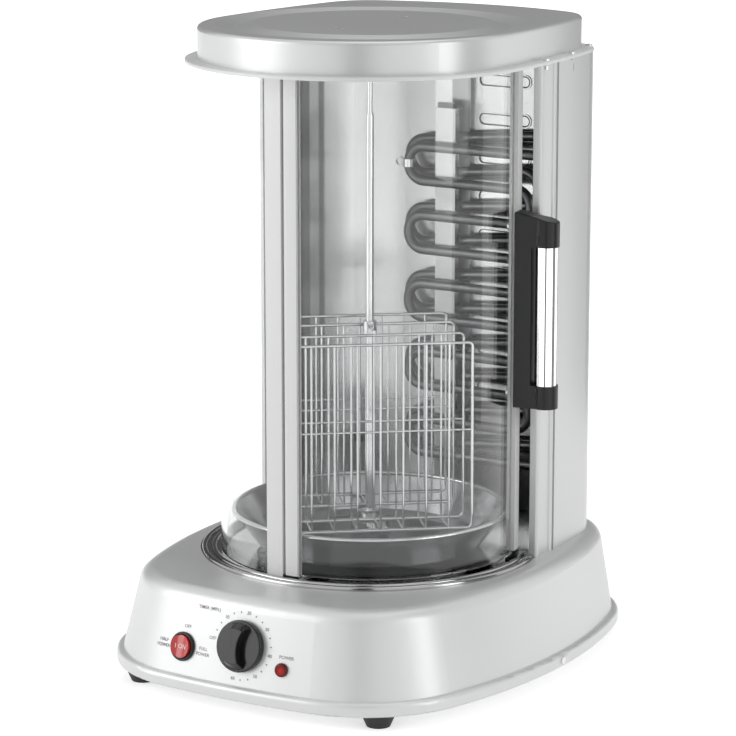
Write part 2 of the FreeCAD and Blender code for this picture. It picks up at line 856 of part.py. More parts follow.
def top_ear(y, side):
    """Tab under the flange for one flange screw, as wide as the gap beside the liner lets it be."""
    screw_x = outline_x(DRUM, y, flange_screw_offset)
    inner = min(outline_x(HOUSING, y + ear_width / 2) - housing_wall, screw_x - 3.0)
    outer = max(outline_x(HOUSING, y) - housing_wall / 2, screw_x + 3.0)
    ear = box(inner, outer, y - ear_width / 2, y + ear_width / 2, flange_bottom - ear_thickness, flange_bottom)
    ear = ear.common(outline_slab(DRUM, flange_overhang - 0.5, 0, overall_height))
    ear = ear.cut(chamber_region(-clear_gap, 0, overall_height))
    return ear if side > 0 else mirrored(ear)


def flange_screw_holes(radius):
    return [upright(x, y, flange_bottom - 10, lid_bottom + 1, radius) for x, y in flange_screw_places()]


def front_profile():
    """Right-hand upright trim: two beads with a valley, a front return and a lap behind the wall."""
    y0, y1 = profile_start, profile_start + profile_length
    low, high = base_top, flange_bottom
    web = outline_ring(HOUSING, -profile_bead, -profile_bead - profile_wall, y0, y1, low, high)
    lap = outline_ring(HOUSING, -housing_wall, -profile_bead - profile_wall, y1, y1 + 8, low, high)
    right = box(0, far, -far, far, low, high)
    parts = [web.common(right), lap.common(right)]
    for y in (y0 + 3.0, y1 - 4.0):
        parts.append(upright(outline_x(HOUSING, y) - bead_round, y, low, high, bead_round))
    x1 = outline_x(HOUSING, y0) - profile_bead
    parts.append(box(liner_half_width, x1, y0, y0 + profile_wall, low, high))
    parts.append(top_ear(flange_screw_y[0], 1))
    return united(parts).cut(flange_screw_holes(screw_radius))


# ---------------------------------------------------------------- liner with its slots
def slot_heights():
    return [slot_top - i * slot_pitch for i in range(slot_count)]


def chamber_liner():
    """Reflector sheet round the back of the chamber, with a column of pressed beads."""
    outer = chamber_region(0.0, base_top, flange_bottom)
    inner = chamber_region(liner_wall, base_top - 1, flange_bottom + 1)
    front = box(-far, far, 0, profile_start + profile_wall, 0, overall_height)
    liner = outer.cut(inner).cut(front)
    centre_x = slot_left + slot_length / 2
    face = liner_back - liner_wall
    back = Vector(0, 1, 0)
    half_sheet = box(-far, far, 0, face + liner_wall / 2, 0, overall_height)
    for z in slot_heights():
        centre = Vector(centre_x, face, z)
        rim = slot_plate(slot_length + 2 * slot_rim, slot_height + 2 * slot_rim, 2 * slot_rim_height,
                         centre, back)
        middle = slot_plate(slot_length, slot_height, 2 * slot_rim_height + 1, centre, back)
        liner = liner.fuse(rim.cut(middle).common(half_sheet))
    cuts = []
    for x, z in terminal_places():
        start = Vector(x, liner_back - cut_reach, z)
        cuts.append(Part.makeCylinder(terminal_radius + screw_gap, 2 * cut_reach, start, back))
    return liner.removeSplitter().cut(cuts)


def liner_channel():
    """Raised upright cover on the back of the liner, behind the heater bracket."""
    y0, y1 = heater_rear_y + tube_radius + clear_gap, liner_back - liner_wall
    outer = box(channel_x - channel_width / 2, channel_x + channel_width / 2, y0, y1, floor_top, flange_bottom)
    inner = box(channel_x - channel_width / 2 + liner_wall, channel_x + channel_width / 2 - liner_wall,
                y0 + liner_wall, y1 + 1, floor_top - 1, flange_bottom + 1)
    return outer.cut(inner)


# ---------------------------------------------------------------- heaters
def heater_row(y, top, left, span, slope):
    """Ends and bends of one winding: parallel legs that rise to the right by a slope."""
    along = Vector(math.cos(math.radians(slope)), 0, math.sin(math.radians(slope)))
    upward = Vector(-along.z, 0, along.x)
    bend = heater_pitch * along.x / 2
    centre = Vector(left + tube_radius + bend, y, top - heater_pitch / 2)
    back_span = span + 4 * bend * along.z / along.x
    turns = []
    for i in range(heater_legs - 1):
        side = -1 if i % 2 == 0 else 1
        turns.append((centre + upward * bend, centre + along * (side * bend), centre - upward * bend))
        centre = centre + along * (span if side < 0 else -back_span) - upward * (2 * bend)
    return turns, along


def heater_ends(y, top, left, span, slope, turn_x):
    """Corner points where the first and last legs turn back through the liner."""
    turns, along = heater_row(y, top, left, span, slope)
    first, last = turns[0][0], turns[-1][2]
    return [first + along * ((turn_x - first.x) / along.x), last + along * ((turn_x - last.x) / along.x)]


def heater_path(y, top, left, span, slope, turn_x, turn):
    turns, along = heater_row(y, top, left, span, slope)
    corners = heater_ends(y, top, left, span, slope, turn_x)
    back = Vector(0, 1, 0)
    elbows = []
    for corner in corners:
        middle = corner + (back - along) * turn + (along - back) * (turn * math.sqrt(0.5))
        elbows.append((corner + back * turn, middle, corner - along * turn))
    outer, middle, here = elbows[0]
    edges = [Part.LineSegment(Vector(outer.x, lead_end, outer.z), outer).toShape(),
             Part.Arc(outer, middle, here).toShape()]
    for first, middle, last in turns:
        edges.append(Part.LineSegment(here, first).toShape())
        edges.append(Part.Arc(first, middle, last).toShape())
        here = last
    outer, middle, inner = elbows[1]
    edges.append(Part.LineSegment(here, inner).toShape())
    edges.append(Part.Arc(inner, middle, outer).toShape())
    edges.append(Part.LineSegment(outer, Vector(outer.x, lead_end, outer.z)).toShape())
    return Part.Wire(edges)


def swept_tube(path, radius):
    start = path.Edges[0].valueAt(path.Edges[0].FirstParameter)
    direction = path.Edges[0].tangentAt(path.Edges[0].FirstParameter)
    ring = Part.Wire([Part.makeCircle(radius, start, direction)])
    return path.makePipeShell([ring], True, False)


front_row = (heater_front_y, heater_top, heater_left, heater_span, 0.0)
rear_row = (heater_rear_y, heater_top + heater_rear_lift, heater_rear_left, heater_rear_span, heater_rear_slope)


def heater_front():
    return swept_tube(heater_path(*front_row, front_turn_x, front_turn), tube_radius)


def heater_rear():
    return swept_tube(heater_path(*rear_row, rear_turn_x, rear_turn), tube_radius)


def terminal_places():
    corners = heater_ends(*front_row, front_turn_x) + heater_ends(*rear_row, rear_turn_x)
    return [(corner.x, corner.z) for corner in corners]


def heater_terminals():
    """Ceramic beads round the tube ends, seated in the liner wall."""
    beads = []
    back = Vector(0, 1, 0)
    for x, z in terminal_places():
        along = x + terminal_radius - (liner_half_width - liner_corner)
        start = liner_back - liner_corner + math.sqrt(liner_corner ** 2 - along ** 2) - liner_wall - terminal_bite
        bead = Part.makeCylinder(terminal_radius, terminal_end - start, Vector(x, start, z), back)
        bore = Part.makeCylinder(tube_radius + running_gap, 3 * cut_reach,
                                 Vector(x, start - cut_reach, z), back)
        beads.append(bead.cut(bore))
    return Part.makeCompound(beads)


def heater_bracket():
    """Sheet channel that stands on the floor between the two tubes and touches both."""
    y0 = heater_front_y + tube_radius + touch_gap
    y1 = heater_rear_y - tube_radius - touch_gap
    x0, x1 = bracket_x - bracket_width / 2, bracket_x + bracket_width / 2
    t = bracket_thickness
    outer = box(x0, x1, y0, y1, floor_top, bracket_top)
    inner = box(x0 + t, x1 - t, y0 + t, y1 + 1, floor_top - 1, bracket_top - t)
    shelf_end = heater_rear_y + tube_radius + clear_gap
    shelf = box(x0, x1, y0, shelf_end, bracket_top - t, bracket_top)
    return united([outer.cut(inner), shelf])


def heat_limiter():
    low = bracket_top
    middle = heater_front_y + tube_radius + limiter_size[1] / 2 + 1.0
    x0 = bracket_x - bracket_width / 2 + 1.0
    body = box(x0, x0 + limiter_size[0], middle - limiter_size[1] / 2, middle + limiter_size[1] / 2,
               low, low + limiter_size[2])
    return body.makeFillet(1.0, edges_where(body, is_upright))


def heater_clip():
    """Band round the first bend of the front tube with an eyelet beside it."""
    bend_x = heater_left + tube_radius
    z = heater_top - heater_pitch / 2
    outer = tube_radius + clip_gap + clip_wall
    band = upright(bend_x, heater_front_y, z - clip_width / 2, z + clip_width / 2, outer)
    ring_x = bend_x - outer - eyelet_radius + 1.2
    start = Vector(ring_x, heater_front_y - clip_wall, z)
    ring = Part.makeCylinder(eyelet_radius, 2 * clip_wall, start, Vector(0, 1, 0))
    clip = band.fuse(ring).removeSplitter()
    clip = clip.cut(upright(bend_x, heater_front_y, z - clip_width, z + clip_width, tube_radius + clip_gap))
    return clip.cut(Part.makeCylinder(eyelet_radius - 1.6, 20, Vector(ring_x, heater_front_y - 10, z),
                                      Vector(0, 1, 0)))


# ---------------------------------------------------------------- drip pan
def drip_pan():
    t = pan_wall
    low = pan_low
    rim = pan_rim_height
    bottom = pan_bottom_radius
    knee = bottom + 8.0
    collar = pan_collar_radius
    top = low + pan_collar_height
    profile = [(collar - t, low), (bottom, low), (knee, low + 4.0), (pan_rim_radius, rim),
               (pan_rim_radius - t, rim), (knee - t, low + 4.0 + t * 0.6), (bottom - 0.4, low + t),
               (collar, low + t), (collar, top), (collar - t, top)]
    dish = revolve(profile)
    roll = Part.makeTorus(pan_rim_radius - t / 2, pan_rim_bead, Vector(0, 0, rim), UP)
    return dish.fuse(roll).removeSplitter()


# ---------------------------------------------------------------- rotor
def rotor_turned(shape):
    shape.rotate(Vector(0, 0, 0), UP, rotor_angle)
    return shape


def wire_grid(long_ends, cross_places, long_places, cross_ends, corner, place):
    """Flat welded grid: a frame with round corners, cross wires and long wires in one plane."""
    (a0, a1), (b0, b1) = long_ends, cross_ends
    inset = corner * (1 - math.sqrt(0.5))
    points = [place(a0 + corner, b0), place(a1 - corner, b0), place(a1 - inset, b0 + inset),
              place(a1, b0 + corner), place(a1, b1 - corner), place(a1 - inset, b1 - inset),
              place(a1 - corner, b1), place(a0 + corner, b1), place(a0 + inset, b1 - inset),
              place(a0, b1 - corner), place(a0, b0 + corner), place(a0 + inset, b0 + inset)]
    edges = [Part.LineSegment(points[0], points[1]).toShape(),
             Part.Arc(points[1], points[2], points[3]).toShape(),
             Part.LineSegment(points[3], points[4]).toShape(),
             Part.Arc(points[4], points[5], points[6]).toShape(),
             Part.LineSegment(points[6], points[7]).toShape(),
             Part.Arc(points[7], points[8], points[9]).toShape(),
             Part.LineSegment(points[9], points[10]).toShape(),
             Part.Arc(points[10], points[11], points[0]).toShape()]
    frame = swept_tube(Part.Wire(edges), frame_wire_radius)
    wires = [rod(place(a, b0), place(a, b1), wire_radius) for a in cross_places]
    wires += [rod(place(a0, b), place(a1, b), wire_radius) for b in long_places]
    return united([frame] + wires)


def spread(start, end, count):
    step = (end - start) / (count + 1)
    return [start + step * (i + 1) for i in range(count)]


def upright_grid(offset):
    half = basket_half_length

    def place(a, b):
        return Vector(a, offset, b)

    grid = wire_grid((-half, half), spread(-half, half, basket_columns), [basket_middle],
                     (basket_low, basket_high), basket_corner, place)
    return rotor_turned(grid)


def floor_grid(side):
    half = basket_half_length
    near = side * (basket_inner + 2 * frame_wire_radius + touch_gap)
    far = side * (basket_outer - 2 * frame_wire_radius - touch_gap)
    b0, b1 = min(near, far), max(near, far)

    def place(a, b):
        return Vector(a, b, basket_low)

    wires = [rod(place(a, b0), place(a, b1), wire_radius) for a in spread(-half, half, basket_columns)]
    rails = [rod(place(basket_corner - half, b), place(half - basket_corner, b), frame_wire_radius)
             for b in (b0, b1)]
    return rotor_turned(united(rails + wires))


def carrier_bottom():
    top = basket_low - frame_wire_radius
    reach = basket_outer + frame_wire_radius
    arm = box(-carrier_width / 2, carrier_width / 2, -reach, reach, top - carrier_thickness, top)
    hub = upright(0, 0, socket_high, top + 3.0, carrier_hub_radius)
    bore = upright(0, 0, 0, overall_height, spit_radius + running_gap)
    return rotor_turned(arm.fuse(hub).removeSplitter().cut(bore))


def top_bar_height():
    return basket_high + frame_wire_radius + top_bar_radius + touch_gap


def carrier_top():
    """Hub on the rod with a bar lying across the two inner grids."""
    z = top_bar_height()
    reach = basket_inner + frame_wire_radius
    bar = rod(Vector(0, -reach, z), Vector(0, reach, z), top_bar_radius)
    hub = upright(0, 0, z - top_hub_length / 2, z + top_hub_length / 2, top_hub_radius)
    bore = upright(0, 0, 0, overall_height, spit_radius + running_gap)
    return rotor_turned(bar.fuse(hub).removeSplitter().cut(bore))


def drive_socket():
    body = upright(0, 0, socket_low, socket_high, socket_radius)
    shaft = upright(0, 0, socket_low - 1, socket_low + socket_shaft_depth, shaft_radius)
    pit = upright(0, 0, socket_low + socket_shaft_depth, socket_high + 1, spit_radius)
    return body.cut([shaft, pit])


def drive_shaft():
    return upright(0, 0, motor_top - 5.5, socket_low + socket_shaft_depth, shaft_radius)


def spit_rod():
    rod_body = upright(0, 0, socket_low + socket_shaft_depth, spit_shoulder, spit_radius)
    pin = upright(0, 0, spit_shoulder, flange_bottom + 1.0, spit_pin_radius)
    return rod_body.fuse(pin).removeSplitter()


def top_bearing():
    """Bush under the flange that the spit's pin runs in."""
    low = flange_bottom - bearing_length
    body = upright(0, 0, low, flange_bottom, bearing_radius)
    collar = upright(0, 0, flange_bottom - 2.0, flange_bottom, bearing_flange_radius)
    bore = upright(0, 0, low - 1, flange_bottom + 5, spit_pin_radius + running_gap)
    return body.fuse(collar).removeSplitter().cut(bore)


def floor_bush():
    low = base_top - base_wall - floor_bush_drop
    body = upright(0, 0, low, floor_top, floor_bush_radius)
    collar = upright(0, 0, floor_top, floor_top + 2.0, floor_bush_flange)
    bore = upright(0, 0, low - 1, floor_top + 5, shaft_radius + running_gap)
    return body.fuse(collar).removeSplitter().cut(bore)


def gear_motor():
    can = upright(0, 0, motor_top - motor_length, motor_top, motor_radius)
    can = can.makeFillet(1.5, edges_where(can, lambda e: level_at(e, motor_top - motor_length)))
    ears = box(-motor_radius - motor_ear, motor_radius + motor_ear, -6, 6, motor_top - 2.0, motor_top)
    holes = [upright(x, y, 0, base_top, screw_radius + screw_gap) for x, y in motor_screw_places()]
    bore = upright(0, 0, motor_top - 6.0, motor_top + 1, shaft_radius + running_gap)
    return can.fuse(ears).removeSplitter().cut(holes + [bore])


def motor_spacers():
    """Two sleeves that hang the motor below the base's top."""
    return Part.makeCompound([tube(x, y, motor_top, base_top - base_wall, spacer_radius,
                                  screw_radius + screw_gap)
                              for x, y in motor_screw_places()])


def motor_screws():
    screws = []
    for x, y in motor_screw_places():
        head = upright(x, y, floor_top, pan_low, 2.8)
        shank = upright(x, y, motor_top - 5.0, floor_top, screw_radius)
        screws.append(head.fuse(shank).removeSplitter())
    return Part.makeCompound(screws)


# ---------------------------------------------------------------- flange and lid
def flange_screw_places():
    places = []
    for y in flange_screw_y:
        x = outline_x(DRUM, y, flange_screw_offset)
        places += [(-x, y), (x, y)]
    return places


def flange_plate():
    plate = outline_slab(DRUM, flange_overhang, flange_bottom, lid_bottom)
    plate = plate.makeFillet(1.0, edges_where(plate, lambda e: level_at(e, lid_bottom)))
    axis = hinge_axis()
    cuts = [upright(0, 0, flange_bottom - 1, lid_bottom + 1, spit_pin_radius + 0.6),
            upright(axis.x, axis.y, flange_bottom - 1, lid_bottom + 1, hinge_pin_radius + running_gap)]
    cuts += flange_screw_holes(screw_radius + screw_gap)
    for x, y in lid_screw_places():
        cuts.append(upright(x, y, flange_bottom - 1, lid_bottom + 1, screw_radius + screw_gap))
    return plate.cut(cuts)


def flange_screws():
    screws = []
    for x, y in flange_screw_places():
        head = upright(x, y, lid_bottom, lid_bottom + 1.4, 2.6)
        shank = upright(x, y, flange_bottom - 4.0, lid_bottom, screw_radius)
        screws.append(head.fuse(shank).removeSplitter())
    return Part.makeCompound(screws)


def lid_screw_places():
    return [(0.0, dish_centre_y - lid_bolt_y), (0.0, dish_centre_y + lid_bolt_y)]


def lid_groove(drop):
    """Ring stamped into the lid's top: a shallow V between two radii."""
    middle = (dish_outer_radius + dish_inner_radius) / 2
    top = overall_height - drop
    return revolve([(dish_inner_radius, top + 3), (dish_inner_radius, top), (middle, top - dish_depth),
                    (dish_outer_radius, top), (dish_outer_radius, top + 3)], 0.0, dish_centre_y)


def lid_drum():
    """Shallow drum with a stamped ring in its top and two posts for the screws."""
    body = outline_slab(DRUM, 0.0, lid_bottom, overall_height)
    body = body.makeFillet(lid_round, edges_where(body, lambda e: level_at(e, overall_height)))
    hollow = outline_slab(DRUM, -lid_wall, lid_bottom - 1, overall_height - lid_wall)
    body = body.cut(hollow.cut(lid_groove(lid_wall))).cut(lid_groove(0.0))
    posts = [upright(x, y, lid_bottom, overall_height - lid_wall, 2 * screw_radius + 2.0)
             for x, y in lid_screw_places()]
    body = body.fuse(posts).removeSplitter()
    cuts = []
    for x, y in lid_screw_places():
        cuts.append(upright(x, y, overall_height - lid_bolt_sink, overall_height + 1, lid_bolt_head + 0.4))
        cuts.append(upright(x, y, lid_bottom - 1, overall_height, screw_radius + screw_gap))
    return body.cut(cuts)


def lid_screws():
    screws = []
    for x, y in lid_screw_places():
        head = upright(x, y, overall_height - lid_bolt_sink, overall_height - 0.2, lid_bolt_head)
        shank = upright(x, y, flange_bottom - 1.5, overall_height - lid_bolt_sink, screw_radius)
        screws.append(head.fuse(shank).removeSplitter())
    return Part.makeCompound(screws)


# ---------------------------------------------------------------- controls
def bezel_bore():
    return local_rod(rocker_radius + rocker_gap, -bezel_depth + 2.0, 5.0)


def switch_bezel():
    """Round snap-in switch housing with the pin its cap tilts on."""
    rim = local_rod(bezel_radius, rim_seat, rim_seat + bezel_rim)
    rim = rim.makeFillet(1.0, edges_where(rim, lambda e: level_at(e, rim_seat + bezel_rim)))
    barrel = local_rod(bezel_barrel, -bezel_depth, rim_seat)
    tabs = [box(x - 2.4, x + 2.4, -0.4, 0.4, -bezel_depth - 7.0, -bezel_depth) for x in (-5.0, 0.0, 5.0)]
    body = united([rim, barrel] + tabs).cut(bezel_bore())
    pin = Part.makeCylinder(rocker_pin_radius, 2 * bezel_barrel - 1.0,
                            Vector(0, -bezel_barrel + 0.5, rocker_pivot), Vector(0, 1, 0))
    return on_wall(body.fuse(pin).removeSplitter(), rocker_place)


def switch_rocker():
    """Red cap with a shallow bent face that tilts about a pin up the wall."""
    top = rocker_pivot + rocker_thickness
    cap = local_rod(rocker_radius, rocker_pivot - 2.0, top)
    dip = Part.makeCylinder(rocker_dish, 4 * rocker_radius,
                            Vector(0, -2 * rocker_radius, top - rocker_dip + rocker_dish), Vector(0, 1, 0))
    pin_hole = Part.makeCylinder(rocker_pin_radius + running_gap, 4 * rocker_radius,
                                 Vector(0, -2 * rocker_radius, rocker_pivot), Vector(0, 1, 0))
    sphere = Part.makeSphere(math.hypot(rocker_radius, rocker_thickness) - 0.5, Vector(0, 0, rocker_pivot))
    return on_wall(cap.common(sphere).cut([dip, pin_hole]), rocker_place)


def timer_body():
    width, height, depth = timer_body_size
    case = box(-width / 2, width / 2, -height / 2, height / 2, -depth - case_setback, -case_setback)
    case = case.makeFillet(2.0, edges_where(case, is_upright))
    nose = local_rod(timer_shaft_radius + 0.9, -case_setback, 0.4)
    bore = local_rod(timer_shaft_radius + running_gap, -12.0, 5.0)
    tabs = [box(x - 2.4, x + 2.4, -0.4, 0.4, -depth - case_setback - 6.0, -depth - case_setback)
            for x in (-9.0, 9.0)]
    return on_wall(united([case, nose] + tabs).cut(bore), knob_place)


def timer_shaft():
    return on_wall(local_rod(timer_shaft_radius, -11.0, knob_lift + knob_skirt - knob_cover), knob_place)


def timer_knob():
    """Round skirt with a tapered ridge on it, hollowed on both sides for the fingers."""
    skirt = local_rod(knob_radius, knob_lift, knob_lift + knob_skirt)
    skirt = skirt.makeFillet(1.2, edges_where(skirt, lambda e: level_at(e, knob_lift + knob_skirt)))
    seat, high = knob_lift + knob_skirt, knob_lift + knob_height
    ridge = Part.makeCone(knob_radius - knob_ledge, knob_crown_radius, high - seat, Vector(0, 0, seat))
    reach = knob_waist / 2 + knob_scoop_radius
    scoops = [Part.makeCylinder(knob_scoop_radius, 2 * knob_height, Vector(x, 0, seat)) for x in (-reach, reach)]
    ridge = ridge.cut(scoops)
    ridge = ridge.makeFillet(knob_edge, edges_where(ridge, lambda e: level_at(e, high)))
    hollow = local_rod(timer_shaft_radius, knob_lift - 1, seat - knob_cover)
    relief = local_rod(knob_radius - 2.0, knob_lift - 1, knob_lift + 2.0).cut(
        local_rod(timer_shaft_radius + 3.0, knob_lift - 1, knob_lift + 2.0))
    knob = skirt.fuse(ridge).removeSplitter().cut([hollow, relief])
    knob.rotate(Vector(0, 0, 0), UP, knob_rest_turn)
    return on_wall(knob, knob_place)


def lamp_body():
    barrel = local_rod(lamp_barrel, -14.0, rim_seat)
    tabs = [box(x - 0.4, x + 0.4, -1.5, 1.5, -19.0, -14.0) for x in (-2.0, 2.0)]
    return on_wall(united([barrel] + tabs), lamp_place)


def lamp_lens():
    disc = local_rod(lamp_radius, rim_seat, rim_seat + lamp_dome)
    disc = disc.makeFillet(1.6, edges_where(disc, lambda e: level_at(e, rim_seat + lamp_dome)))
    return on_wall(disc, lamp_place)


# ---------------------------------------------------------------- cord inlet and junction
def cord_gland():
    """Plastic grommet in the back wall; the cord itself is not part of the object."""
    axis = Vector(0, 1, 0)
    wall_y = gland_wall_y()
    collar = Part.makeCylinder(gland_radius, 5.0, Vector(gland_x, wall_y + 0.5, gland_z), axis)
    neck = Part.makeCylinder(gland_radius - gland_collar, 14.0, Vector(gland_x, wall_y - 10.0, gland_z), axis)
    bore = Part.makeCylinder(gland_bore, 60.0, Vector(gland_x, wall_y - 30, gland_z), axis)
    return united([collar, neck]).cut(bore)


def gland_wall_y():
    share = (gland_z - lip_top) / base_wall_height
    back = (LIP["back"] - wall_inset) * (1 - share) + BASE_TOP["back"] * share
    radius = (LIP["r_back"] - wall_inset) * (1 - share) + BASE_TOP["r_back"] * share
    return back - radius + math.sqrt(radius ** 2 - gland_x ** 2)


def junction_block():
    width, depth, height = junction_size
    low = lip_bottom + tray_thickness
    block = box(junction_x - width / 2, junction_x + width / 2, junction_y - depth / 2, junction_y + depth / 2,
                low, low + height)
    holes = []
    for i in range(3):
        x = junction_x + (i - 1) * width / 3.2
        holes.append(upright(x, junction_y, low + height - 6, low + height + 1, 3.0))
        holes.append(Part.makeCylinder(1.6, depth + 2, Vector(x, junction_y - depth / 2 - 1, low + 4),
                                       Vector(0, 1, 0)))
    return block.cut(holes)


# ---------------------------------------------------------------- all nodes
def all_nodes():
    nodes = {
        "base_shell": base_shell(), "base_tray": base_tray(), "feet": feet(), "foot_screws": foot_screws(),
        "tray_screws": tray_screws(), "floor_pan": floor_pan(), "cord_gland": cord_gland(),
        "junction_block": junction_block(),
        "switch_bezel": switch_bezel(), "switch_rocker": switch_rocker(),
        "timer_body": timer_body(), "timer_shaft": timer_shaft(), "timer_knob": timer_knob(),
        "lamp_body": lamp_body(), "lamp_lens": lamp_lens(),
        "gear_motor": gear_motor(), "motor_spacers": motor_spacers(), "motor_screws": motor_screws(),
        "drive_shaft": drive_shaft(), "floor_bush": floor_bush(), "drive_socket": drive_socket(),
        "spit_rod": spit_rod(), "carrier_bottom": carrier_bottom(), "carrier_top": carrier_top(),
        "top_bearing": top_bearing(), "drip_pan": drip_pan(),
        "chamber_liner": chamber_liner(), "liner_channel": liner_channel(),
        "rear_housing": rear_housing(), "front_profile_right": front_profile(),
        "front_profile_left": mirrored(front_profile()),
        "heater_front": heater_front(), "heater_rear": heater_rear(),
        "heater_bracket": heater_bracket(), "heater_terminals": heater_terminals(),
        "heater_clip": heater_clip(), "heat_limiter": heat_limiter(),
        "glass_fixed": glass_fixed(), "fixed_front_stile": fixed_front_stile(),
        "fixed_side_stile": fixed_side_stile(), "glass_door": glass_door(),
        "door_hinge_stile": door_hinge_stile(), "door_latch_stile": door_latch_stile(),
        "hinge_pins": hinge_pins(), "hinge_bushes": hinge_bushes(), "door_rest": door_rest(),
        "handle_body": handle_body(), "handle_grip": handle_grip(), "handle_screws": handle_screws(),
        "flange_plate": flange_plate(), "flange_screws": flange_screws(),
        "lid_drum": lid_drum(), "lid_screws": lid_screws(),
    }
    for side, name in ((1, "basket_rear"), (-1, "basket_front")):
        nodes[name + "_inner"] = upright_grid(side * basket_inner)
        nodes[name + "_outer"] = upright_grid(side * basket_outer)
        nodes[name + "_floor"] = floor_grid(side)
    return nodes


os.makedirs("parts", exist_ok=True)
for node, solid in all_nodes().items():
    solid.exportStep("parts/" + node + ".step")
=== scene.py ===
import math

import bmesh
import bpy
from mathutils import Matrix, Vector


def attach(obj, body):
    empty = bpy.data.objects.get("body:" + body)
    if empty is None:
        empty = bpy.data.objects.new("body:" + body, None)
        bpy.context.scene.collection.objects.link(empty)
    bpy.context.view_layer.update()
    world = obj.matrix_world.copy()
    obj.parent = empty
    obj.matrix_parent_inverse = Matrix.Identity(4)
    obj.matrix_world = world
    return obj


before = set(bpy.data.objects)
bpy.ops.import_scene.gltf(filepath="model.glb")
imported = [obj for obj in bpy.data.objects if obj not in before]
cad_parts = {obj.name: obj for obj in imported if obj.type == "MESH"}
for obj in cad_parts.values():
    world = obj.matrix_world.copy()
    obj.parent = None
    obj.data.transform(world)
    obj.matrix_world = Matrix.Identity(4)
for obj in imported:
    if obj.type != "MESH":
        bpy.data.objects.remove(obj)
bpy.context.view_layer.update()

bl_info = {
    "name": "Vertical Skewer Grill",
    "version": (1, 0, 0),
    "blender": (4, 5, 0),
    "location": "3D View > Sidebar > Skewer Grill",
    "description": "Finishes and small fittings for a vertical skewer grill",
    "category": "Object",
}

MM = 0.001

# The sloping front wall carries the controls: its place is repeated here from the part's
# own values, in millimetres.
LIP_TOP = 20.4
WALL_HEIGHT = 60.5
WALL_FOOT = 183.2
WALL_HEAD = 168.8
FOOT_RADIUS = 623.0
HEAD_RADIUS = 602.0
KNOB_PLACE = (2.2, 48.1)
ROCKER_PLACE = (-48.4, 39.9)
LAMP_PLACE = (36.8, 36.5)
ROCKER_TOP = 5.0
ROCKER_DISH = 20.0
ROCKER_DIP = 1.8
LAMP_FACE = 2.65

# Pressed slots in the liner, in millimetres, with the dark loops of painted shade along their
# edges.
SLOT_MIDDLE = 30.9
SLOT_LENGTH = 41.0
SLOT_HEIGHT = 8.2
SLOT_TOP = 417.5
SLOT_PITCH = 30.0
SLOT_COUNT = 9
SLOT_WIRE = 0.45
SLOT_PROUD = 1.0
SLOT_ROUNDING = 0.499
SLOT_CORNER_STEPS = 8
SLOT_WIRE_SIDES = 6
LINER_FACE = 149.2
# Where the liner bends, and the painted reflection at each share of the way round the bend: light
# and dark upright bands that stand in for what the polished sheet mirrors.
BEND_START = 85.0
BEND_END = 150.0
BEND_REFLECTION_TONES = ((0.0, 0.30), (0.19, 0.30), (0.22, 0.95), (0.345, 0.95), (0.37, 0.32), (0.42, 0.32),
              (0.45, 0.98), (0.62, 0.95), (0.85, 0.70), (1.0, 0.62))

# Print, in millimetres, with angles in degrees. Places are measured from each control's centre.
INK_LIFT = 0.08
LETTER_SCALE = 1.37
LETTER_WEIGHT = 0.012
LETTER_STEPS = 4
DIAL_START = 175.4
DIAL_SWEEP = -276.3
TICK_LENGTH = 1.3
TICK_WIDTH = 0.9
NUMBER_EVERY = 3
NUMBER_STEP = 10
OFF_SHIFT = 1.5
DIAL_TITLE = ("TIMER (MIN.)", -31.0, 22.5)
SWITCH_WORDS = (("OFF", 2.0, 14.8), ("HALF", -18.0, 2.2), ("POWER", -18.0, -1.8),
                ("FULL", 18.0, 1.2), ("POWER", 18.0, -2.8))
LAMP_WORDS = (("POWER", 2.8, 8.8),)
ROCKER_WORDS = (("I", -4.2, 0.0), ("ON", 1.6, 0.0))
ROCKER_LETTER = 3.4
ROCKER_INK_LIFT = 0.06

# Studio, in metres, watts and degrees. Each card has its azimuth, spread, foot, head, shade and
# reach, and each lamp its place, size and power. FLOOR_NEAR and FLOOR_FAR are a distance from
# the grill and the glow of the floor there.
FLOOR_HALF = 6.0
FLOOR_MATTE = 0.90
FLOOR_NEAR = (0.3, 0.55)
FLOOR_FAR = (1.2, 1.0)
SOFT_WORLD = 0.42
CARDS = {
    "card_behind": (211.0, 100.0, 0.25, 2.4, 0.12, 3.0),
    "card_far_right": (168.0, 18.0, 0.0, 2.0, 0.08, 0.9),
    "card_lens": (27.0, 13.0, 0.0, 2.0, 0.12, 0.9),
    "card_right": (106.0, 28.0, 0.0, 2.0, 0.26, 0.9),
}
CARD_STEPS = 8
LAMP_TARGET = (0.0, 0.0, 0.23)
LAMPS = {
    "key_left": ((-1.6, -1.7, 1.0), (1.6, 1.8), 24.0),
    "fill_right": ((2.1, 0.2, 0.8), (1.2, 1.6), 14.0),
    "top_soft": ((0.1, 0.5, 2.2), (1.4, 1.4), 5.0),
}
CAMERA_AZIMUTH = 31.577
CAMERA_PITCH = 12.065
CAMERA_TURN = 0.036
CAMERA_HEIGHT = 0.7169
SENSOR_WIDTH = 36.0
FOCAL_SHARE = 3219.7 / 736.0
CLIP_RANGE = (0.05, 30.0)


# ------------------------------------------------------------------ small helpers
def wall_matrix(place):
    """Frame on the front wall in metres: Z outwards, Y up the wall, X along it."""
    x, z = place
    share = (z - LIP_TOP) / WALL_HEIGHT
    front = WALL_FOOT * (1 - share) + WALL_HEAD * share
    radius = FOOT_RADIUS * (1 - share) + HEAD_RADIUS * share
    y = radius - front - math.sqrt(radius ** 2 - x ** 2)
    slope = math.atan2(WALL_FOOT - WALL_HEAD, WALL_HEIGHT)
    turn = Matrix.Rotation(math.asin(x / radius), 4, "Z")
    tilt = Matrix.Rotation(math.radians(90) - slope, 4, "X")
    return Matrix.Translation(Vector((x, y, z)) * MM) @ turn @ tilt


